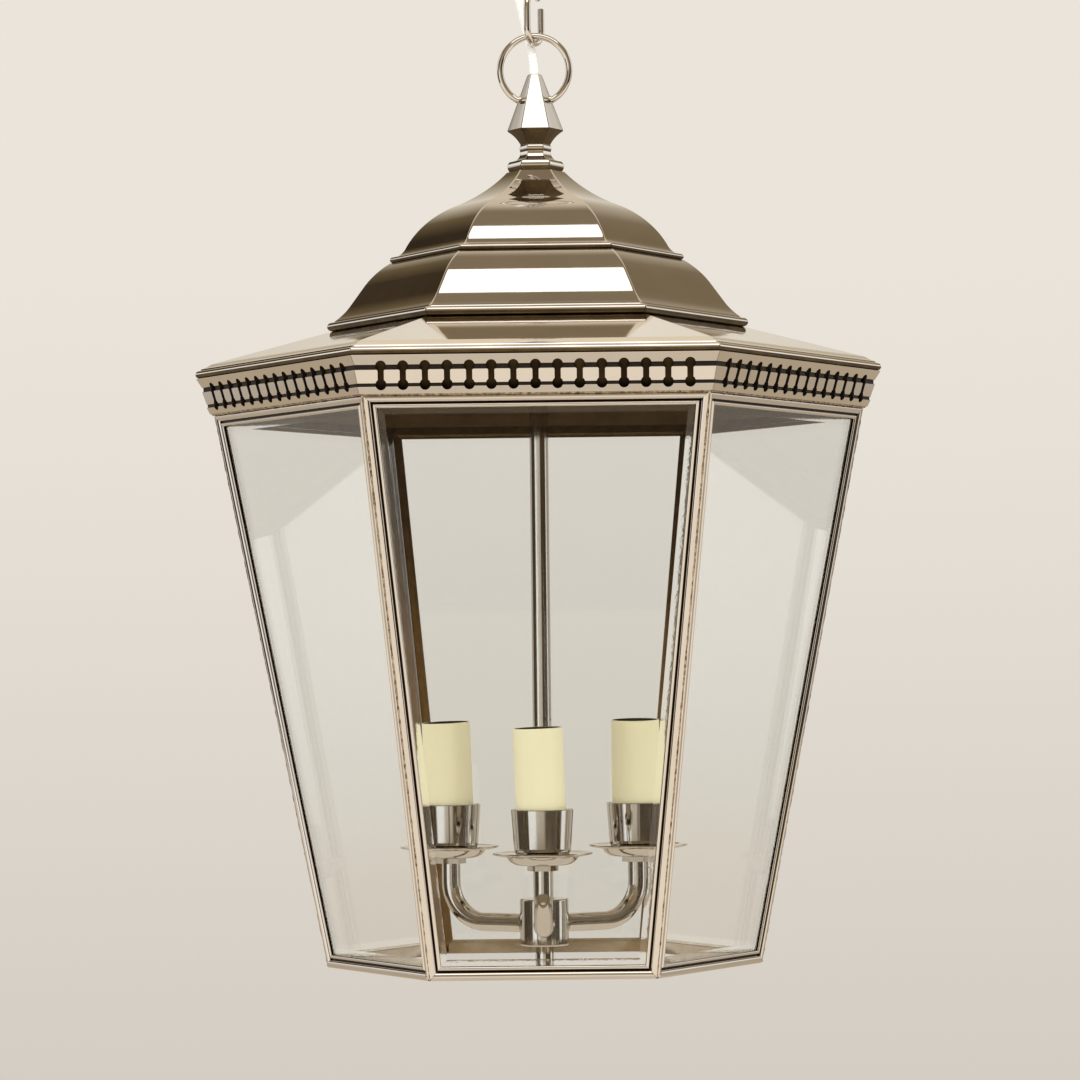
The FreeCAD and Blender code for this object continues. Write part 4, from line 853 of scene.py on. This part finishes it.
def twisted(path, turn_length, offset, start):
    """A path wound round another one, for one of two twisted cores."""
    heading = (path[1] - path[0]).normalized()
    side = heading.orthogonal().normalized()
    travelled = 0.0
    wound = []
    for index, point in enumerate(path):
        before = path[max(index - 1, 0)]
        after = path[min(index + 1, len(path) - 1)]
        ahead = (after - before).normalized()
        side = heading.rotation_difference(ahead) @ side
        heading = ahead
        travelled += (point - before).length
        angle = start + 2 * math.pi * travelled / turn_length
        wound.append(point + (side * math.cos(angle) + heading.cross(side) * math.sin(angle)) * offset)
    return wound


def in_row(points):
    return [(p[0] * MM, p[1] * MM, height(p[2])) for p in points]


def flex():
    """Clear flex with two twisted cores, in the two lengths that meet behind the ring."""
    line = flex_line()
    low, high = (Vector(point) for point in FLEX_ROUTE[2:4])
    meeting = (low + high) / 2 + Vector((0, 0, FINIAL_TIP))
    cut = min(range(len(line)), key=lambda index: (line[index] - meeting).length)
    lengths = {"flex_lower": (line[:cut + 1], "lantern", "hanging_ring"),
               "flex_upper": (line[cut:], "hanging_ring", "chain_link")}
    for node, (path, low_body, high_body) in lengths.items():
        sheath = tube(path, FLEX_DIAMETER / 2, 28)
        pieces = [make_piece(node + "_sheath", sheath, VINYL, [node], None)]
        for core in range(2):
            wound = twisted(path[1:-1], CORE_TWIST, CORE_OFFSET, math.pi * core)
            name = "%s_core_%d" % (node, core + 1)
            pieces.append(make_piece(name, tube(wound, CORE_RADIUS, 14), CORE, (), None))
        for piece in pieces:
            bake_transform(piece)


# Light cluster

ARM_LEVEL = 22.5
ARM_RADIUS = 5.0
ARM_BEND = 21


def arm_path():
    """Centreline of an arm: out from the hub, then round and up."""
    path = [Vector((x, 0, ARM_LEVEL)) for x in (9.2, 11, 24)]
    path += arc_path((ARM_REACH - ARM_BEND, ARM_LEVEL + ARM_BEND), ARM_BEND, -90, 0, 24)
    path += [Vector((ARM_REACH, 0, level)) for level in (50, 60, 66)]
    return path


def darken_bore(sleeve, light):
    """Brown the inside of a sleeve."""
    sleeve.data.materials.append(SLEEVE_BORE)
    spot = Vector(light_spot(light)) * MM
    for face in sleeve.data.polygons:
        if face.normal.xy.dot((face.center.xy - spot).normalized()) < -0.5:
            face.material_index = 1


def candle_light(light):
    """One arm with its drip pan, cup, sleeve and lampholder."""
    number = light + 1
    x, y = light_spot(light)
    turn = FIRST_LIGHT + 360 / LIGHTS * light
    collar = tube([(reach, 0, ARM_LEVEL) for reach in (12.6, 13.4, 13.9)], [5.7, 5.7, 5.1], 36)
    arm = placed(joined(tube(arm_path(), ARM_RADIUS, 36), collar), 0, 0, turn)
    make_piece("arm_tube_%d" % number, arm, TURNED_NICKEL, ["candle_arm_%d" % number])
    pan = [(5.2, 56.5)] + bow((13.0, 56.5), (18.8, 60.8), -0.9, 10)
    pan += bow((19.1, 60.9), (25.2, 61.9), -0.3, 6)
    pan += bow((25.4, 61.9), (25.4, 63.0), -0.55, 6)
    pan += bow((24.9, 62.9), (18.6, 61.8), 0.3, 6)
    pan += bow((18.3, 61.7), (13.0, 57.5), 0.9, 10) + [(5.2, 57.5)]
    dish = placed(turned(pan, 96), x, y)
    make_piece("drip_dish_%d" % number, dish, TURNED_NICKEL, ["drip_pan_%d" % number])
    cup = [(5.2, 0.0), (9.0, 0.0)] + bow((9.0, 0.0), (14.8, 6.6), -1.3, 8)[1:]
    cup += [(16.2, 27.2), (16.3, 27.6), (16.0, 27.8), (15.5, 27.8), (15.3, 27.3), (13.9, 6.9)]
    cup += bow((13.8, 6.6), (9.0, 1.0), 1.2, 8) + [(5.2, 1.0)]
    cup = turned([(radius, CUP_FOOT + rise) for radius, rise in cup], 96)
    make_piece("tulip_cup_%d" % number, placed(cup, x, y), TURNED_NICKEL, ["candle_cup_%d" % number])
    wall = softened([(13.0, SLEEVE_SEAT), (13.0, CANDLE_TOP), (11.8, CANDLE_TOP), (11.8, SLEEVE_SEAT)], 0.45)
    sleeve = make_piece("ivory_sleeve_%d" % number, leaned(turned(wall), light, SLEEVE_LIFTS[light]), SLEEVE,
                        ["candle_tube_%d" % number])
    darken_bore(sleeve, light)
    lampholder(light)


# One turn of the screw shell's thread: radius, and fall below the turn's start
THREAD = [(7.1, 0.0), (6.96, 0.5), (6.96, 1.0), (7.1, 1.6), (7.2, 2.2)]
THREAD_PITCH = 2.82
THREAD_TURNS = 6


def lampholder(light):
    """Black moulded holder with a rolled brass screw shell and a sprung centre contact."""
    number = light + 1
    top = CANDLE_TOP - 1.6
    foot = CUP_FOOT + 1.2
    body = softened([
        (5.2, foot), (7.6, foot), (7.6, foot + 12), (6.4, foot + 12), (6.4, top - 39.1), (11.5, top - 34),
        (11.5, top), (7.9, top), (7.4, top - 0.6), (7.4, top - 22), (1.5, top - 22), (1.5, 66.4),
        (5.2, 66.2)], 0.4, 2)
    make_piece("lampholder_body_%d" % number, leaned(turned(body, 48), light), PHENOLIC,
               ["lampholder_%d" % number])
    shell = [(7.35, top - 1.0), (7.1, top - 1.0)]
    for turn in range(THREAD_TURNS):
        start = top - 2.0 - THREAD_PITCH * turn
        shell += [(radius, start - fall) for radius, fall in THREAD]
    shell += [(7.2, top - 20), (7.35, top - 20)]
    make_piece("screw_shell_%d" % number, leaned(turned(shell, 48), light), THREAD_BRASS)
    contact = softened([(0.01, top - 21.9), (3.2, top - 21.9), (3.2, top - 20.8), (1.6, top - 20.0),
                        (0.01, top - 19.8)], 0.3, 2)
    make_piece("centre_contact_%d" % number, leaned(turned(contact, 24), light), THREAD_BRASS)


def hub():
    """Turned hub, and the domed plug in the rod's lower end."""
    foot = 10.8
    body = softened([(5.3, foot), (13.0, foot), (13.0, foot + 25), (5.3, foot + 25)], 1.1, 5)
    make_piece("hub_turning", turned(body), TURNED_NICKEL, ["arm_hub"])
    plug = bow((0.01, 1.0), (5.0, 2.2), -0.3, 8) + [(5.0, 2.8), (3.3, 2.8), (3.3, 8.8), (0.01, 8.8)]
    make_piece("rod_end_plug", turned(plug, 60), TURNED_NICKEL, ["rod_plug"])


def dress_solids():
    """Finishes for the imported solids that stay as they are."""
    finishes = {"corner_post": SHADED_BAR_NICKEL, "top_rail": SHADED_BAR_NICKEL, "bottom_rail": LIT_SILL_NICKEL,
                "gallery_liner": LINER_BRASS, "centre_rod": TURNED_NICKEL, "crown_washer": DULL_BRASS_AND_SHADE,
                "crown_nut": DULL_BRASS_AND_SHADE, "arm_nuts": TURNED_NICKEL}
    for name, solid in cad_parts.items():
        for start, material in finishes.items():
            if name.startswith(start):
                solid.data.materials.clear()
                solid.data.materials.append(material)


# Studio

ROOM_LIGHT = 1.2
SOFT_LIGHT = 1.35
# Share of the room that a pane facing the camera still mirrors, and the faces of glass in one pane
FILTERED_SHARE = 0.12
PANE_FACES = 2
BACKDROP_LOW = "#D1CAC0"
BACKDROP_HIGH = "#EAE4DB"
FLOOR_LEVEL = -900.0
FLOOR_RADIUS = 1600
FLOOR_STEPS = 96


def studio_floor():
    """Plain pale floor, warm in reflections."""
    material, _, shader, _ = start_material("studio_floor")
    shader.inputs["Base Color"].default_value = linear("#C4BAAC")
    shader.inputs["Roughness"].default_value = 0.9
    mesh = bpy.data.meshes.new("floor")
    rim = in_row(round_ring(FLOOR_RADIUS, FLOOR_LEVEL, FLOOR_STEPS))
    mesh.from_pydata(rim, [], [tuple(range(FLOOR_STEPS))])
    mesh.materials.append(material)
    floor = bpy.data.objects.new("floor", mesh)
    bpy.context.scene.collection.objects.link(floor)


# What the metal mirrors all round, by the angle from the camera's side towards the right: level with the
# lantern, and above it
LOW_PANELS = [(-180, "#C4BBAC"), (-150, "#BBB2A6"), (-113, "#BBB2A6"), (-106, "#3E3325"), (-60, "#463A2B"),
              (-51, "#FFFFFF"), (-27, "#FFFFFF"), (-20, "#C9C1B4"), (6, "#C0B7A8"), (14, "#463A2B"),
              (74, "#3E3325"), (82, "#FFFFFF"), (96, "#F4EEE4"), (103, "#8A7D69"), (108, "#8A7D69"),
              (114, "#AFA699"), (150, "#BBB2A6"), (180, "#C4BBAC")]
HIGH_PANELS = [(-180, "#DDD5C9"), (-168, "#B2A793"), (-156, "#66573F"), (-141, "#352B1F"),
               (-131.2, "#352B1F"), (-130.5, "#CFC8BF"), (-122, "#FFFFFF"), (-95, "#FFFFFF"),
               (-85, "#6E604C"), (-36, "#6E604C"), (-26, "#9A8567"), (26, "#9A8567"), (36, "#6E604C"),
               (85, "#6E604C"), (95, "#FFFFFF"), (122, "#FFFFFF"), (130.5, "#CFC8BF"), (131.2, "#78694F"),
               (152, "#80705A"), (168, "#B2A793"), (180, "#DDD5C9")]
# How its parts run into one another: the part made, what the change goes by (an axis of the direction, or
# the glass faces passed on the way), where it begins and is complete, and what is shown before and after it
ROOM_CHANGES = [
    ("near_floor", "glass", 1.0, 2.0, "#F3E6D4", "#7D6D52"),
    ("floor", "Y", -0.05, 0.2, "near_floor", "#B6A690"),
    ("ceiling", "Y", 0.15, 0.5, "#867761", "#D6C8B2"),
    ("walls", "Z", 0.1, 0.2, "low_panels", "high_panels"),
    ("walls_and_ceiling", "Z", 0.5, 0.6, "walls", "ceiling"),
    ("room", "Z", -0.185, -0.205, "walls_and_ceiling", "floor"),
]


def mirrored_room(tree, way, glass_faces):
    """The room that the metal shows: white and dark panels round it, a dim ceiling and a pale warm floor."""
    split = add_node(tree, "ShaderNodeSeparateXYZ", inputs={0: way}).outputs
    front = add_node(tree, "ShaderNodeMath", {"operation": "MULTIPLY"}, {0: split["Y"], 1: -1.0}).outputs[0]
    turn = add_node(tree, "ShaderNodeMath", {"operation": "ARCTAN2"}, {0: split["X"], 1: front}).outputs[0]
    share = add_node(tree, "ShaderNodeMapRange", inputs={
        "Value": turn, "From Min": -math.pi, "From Max": math.pi}).outputs["Result"]
    parts = {}
    for name, stops in (("low_panels", LOW_PANELS), ("high_panels", HIGH_PANELS)):
        row = add_node(tree, "ShaderNodeValToRGB", inputs={0: share})
        elements = row.color_ramp.elements
        for angle, code in stops[1:-1]:
            elements.new((angle + 180) / 360).color = linear(code)
        elements[0].color = linear(stops[0][1])
        elements[len(elements) - 1].color = linear(stops[-1][1])
        parts[name] = row.outputs[0]
    measures = {"Y": split["Y"], "Z": split["Z"], "glass": glass_faces}
    for name, measure, begin, finish, before, after in ROOM_CHANGES:
        change = add_node(tree, "ShaderNodeMapRange", {"interpolation_type": "SMOOTHSTEP"}, {
            "Value": measures[measure], "From Min": begin, "From Max": finish})
        colours = [linear(colour) if colour.startswith("#") else parts[colour] for colour in (before, after)]
        parts[name] = add_node(tree, "ShaderNodeMix", {"data_type": "RGBA"}, {
            0: change.outputs["Result"], 6: colours[0], 7: colours[1]}).outputs[2]
    return parts["room"]


def studio_world():
    """Even soft light, a pale backdrop for the camera, and the room that the metal mirrors. Panes that face
    the camera mirror little of it, as behind a polarising filter."""
    world = bpy.data.worlds.new("studio")
    bpy.context.scene.world = world
    world.use_nodes = True
    tree = world.node_tree
    tree.nodes.clear()
    path = add_node(tree, "ShaderNodeLightPath").outputs
    way = add_node(tree, "ShaderNodeTexCoord").outputs["Generated"]
    split = add_node(tree, "ShaderNodeSeparateXYZ", inputs={0: way}).outputs
    fade = add_node(tree, "ShaderNodeMapRange", {"interpolation_type": "SMOOTHSTEP"}, {
        "Value": split["Z"], "From Min": -0.16, "From Max": 0.12})
    backdrop = add_node(tree, "ShaderNodeMix", {"data_type": "RGBA"}, {
        0: fade.outputs["Result"], 6: linear(BACKDROP_LOW), 7: linear(BACKDROP_HIGH)})
    soft = add_node(tree, "ShaderNodeBackground", inputs={"Color": linear("#FFFCF6"), "Strength": SOFT_LIGHT})
    shown = add_node(tree, "ShaderNodeBackground", inputs={"Color": backdrop.outputs[2], "Strength": 1.0})
    one_pane = add_node(tree, "ShaderNodeMath", {"operation": "LESS_THAN"}, {
        0: path["Transmission Depth"], 1: PANE_FACES + 0.5})
    in_pane = add_node(tree, "ShaderNodeMath", {"operation": "MULTIPLY"}, {
        0: path["Is Singular Ray"], 1: one_pane.outputs[0]})
    filtered = add_node(tree, "ShaderNodeMapRange", inputs={
        "Value": split["Y"], "From Min": -0.2, "From Max": -0.6,
        "To Min": ROOM_LIGHT, "To Max": FILTERED_SHARE * ROOM_LIGHT})
    strength = add_node(tree, "ShaderNodeMix", inputs={
        0: in_pane.outputs[0], 2: ROOM_LIGHT, 3: filtered.outputs["Result"]})
    room = add_node(tree, "ShaderNodeBackground", inputs={
        "Color": mirrored_room(tree, way, path["Transmission Depth"]), "Strength": strength.outputs[0]})
    mirror = add_node(tree, "ShaderNodeMath", {"operation": "GREATER_THAN"}, {
        0: path["Glossy Depth"], 1: 0.5})
    first = add_node(tree, "ShaderNodeMixShader", inputs={
        0: mirror.outputs[0], 1: shown.outputs[0], 2: room.outputs[0]})
    last = add_node(tree, "ShaderNodeMixShader", inputs={
        0: path["Is Diffuse Ray"], 1: first.outputs[0], 2: soft.outputs[0]})
    add_node(tree, "ShaderNodeOutputWorld", inputs={"Surface": last.outputs[0]})


def studio_lamp():
    """One broad overhead panel in front of the lantern, seen in reflections but not by the camera."""
    data = bpy.data.lights.new("overhead_panel", "AREA")
    data.shape = "RECTANGLE"
    data.size = 1.6
    data.size_y = 1.32
    data.energy = 10.5
    lamp = bpy.data.objects.new("overhead_panel", data)
    place = Vector((0, -1.09, 1.15))
    lamp.location = place
    lamp.rotation_euler = (Vector((0, -1.09, 0)) - place).to_track_quat("-Z", "Y").to_euler()
    lamp.visible_camera = False
    lamp.visible_transmission = False
    bpy.context.scene.collection.objects.link(lamp)


def studio_camera():
    """Camera at the photograph's place, a little below the lantern's middle and looking slightly up."""
    data = bpy.data.cameras.new("camera")
    data.lens = 135.2
    data.sensor_width = 36.0
    camera = bpy.data.objects.new("camera", data)
    swing = math.radians(0.47)
    pitch = math.radians(1.64)
    roll = math.radians(-0.66)
    turn = Matrix.Rotation(swing, 4, "Z")
    look = turn @ Matrix.Rotation(math.radians(90) + pitch, 4, "X") @ Matrix.Rotation(roll, 4, "Z")
    place = turn @ Vector((0, -2.1685, -0.35355))
    camera.matrix_world = Matrix.Translation(place) @ look
    bpy.context.scene.collection.objects.link(camera)
    bpy.context.scene.camera = camera


studio_camera()
flex()
roof_skirt()
roof_lower_tier()
roof_upper_tier()
finial()
gallery_strips()
glass_panes()
solder_runs()
hanging_ring()
chain_link()
for light in range(LIGHTS):
    candle_light(light)
hub()
dress_solids()
studio_floor()
studio_world()
studio_lamp()

bpy.context.scene.view_settings.view_transform = "Standard"
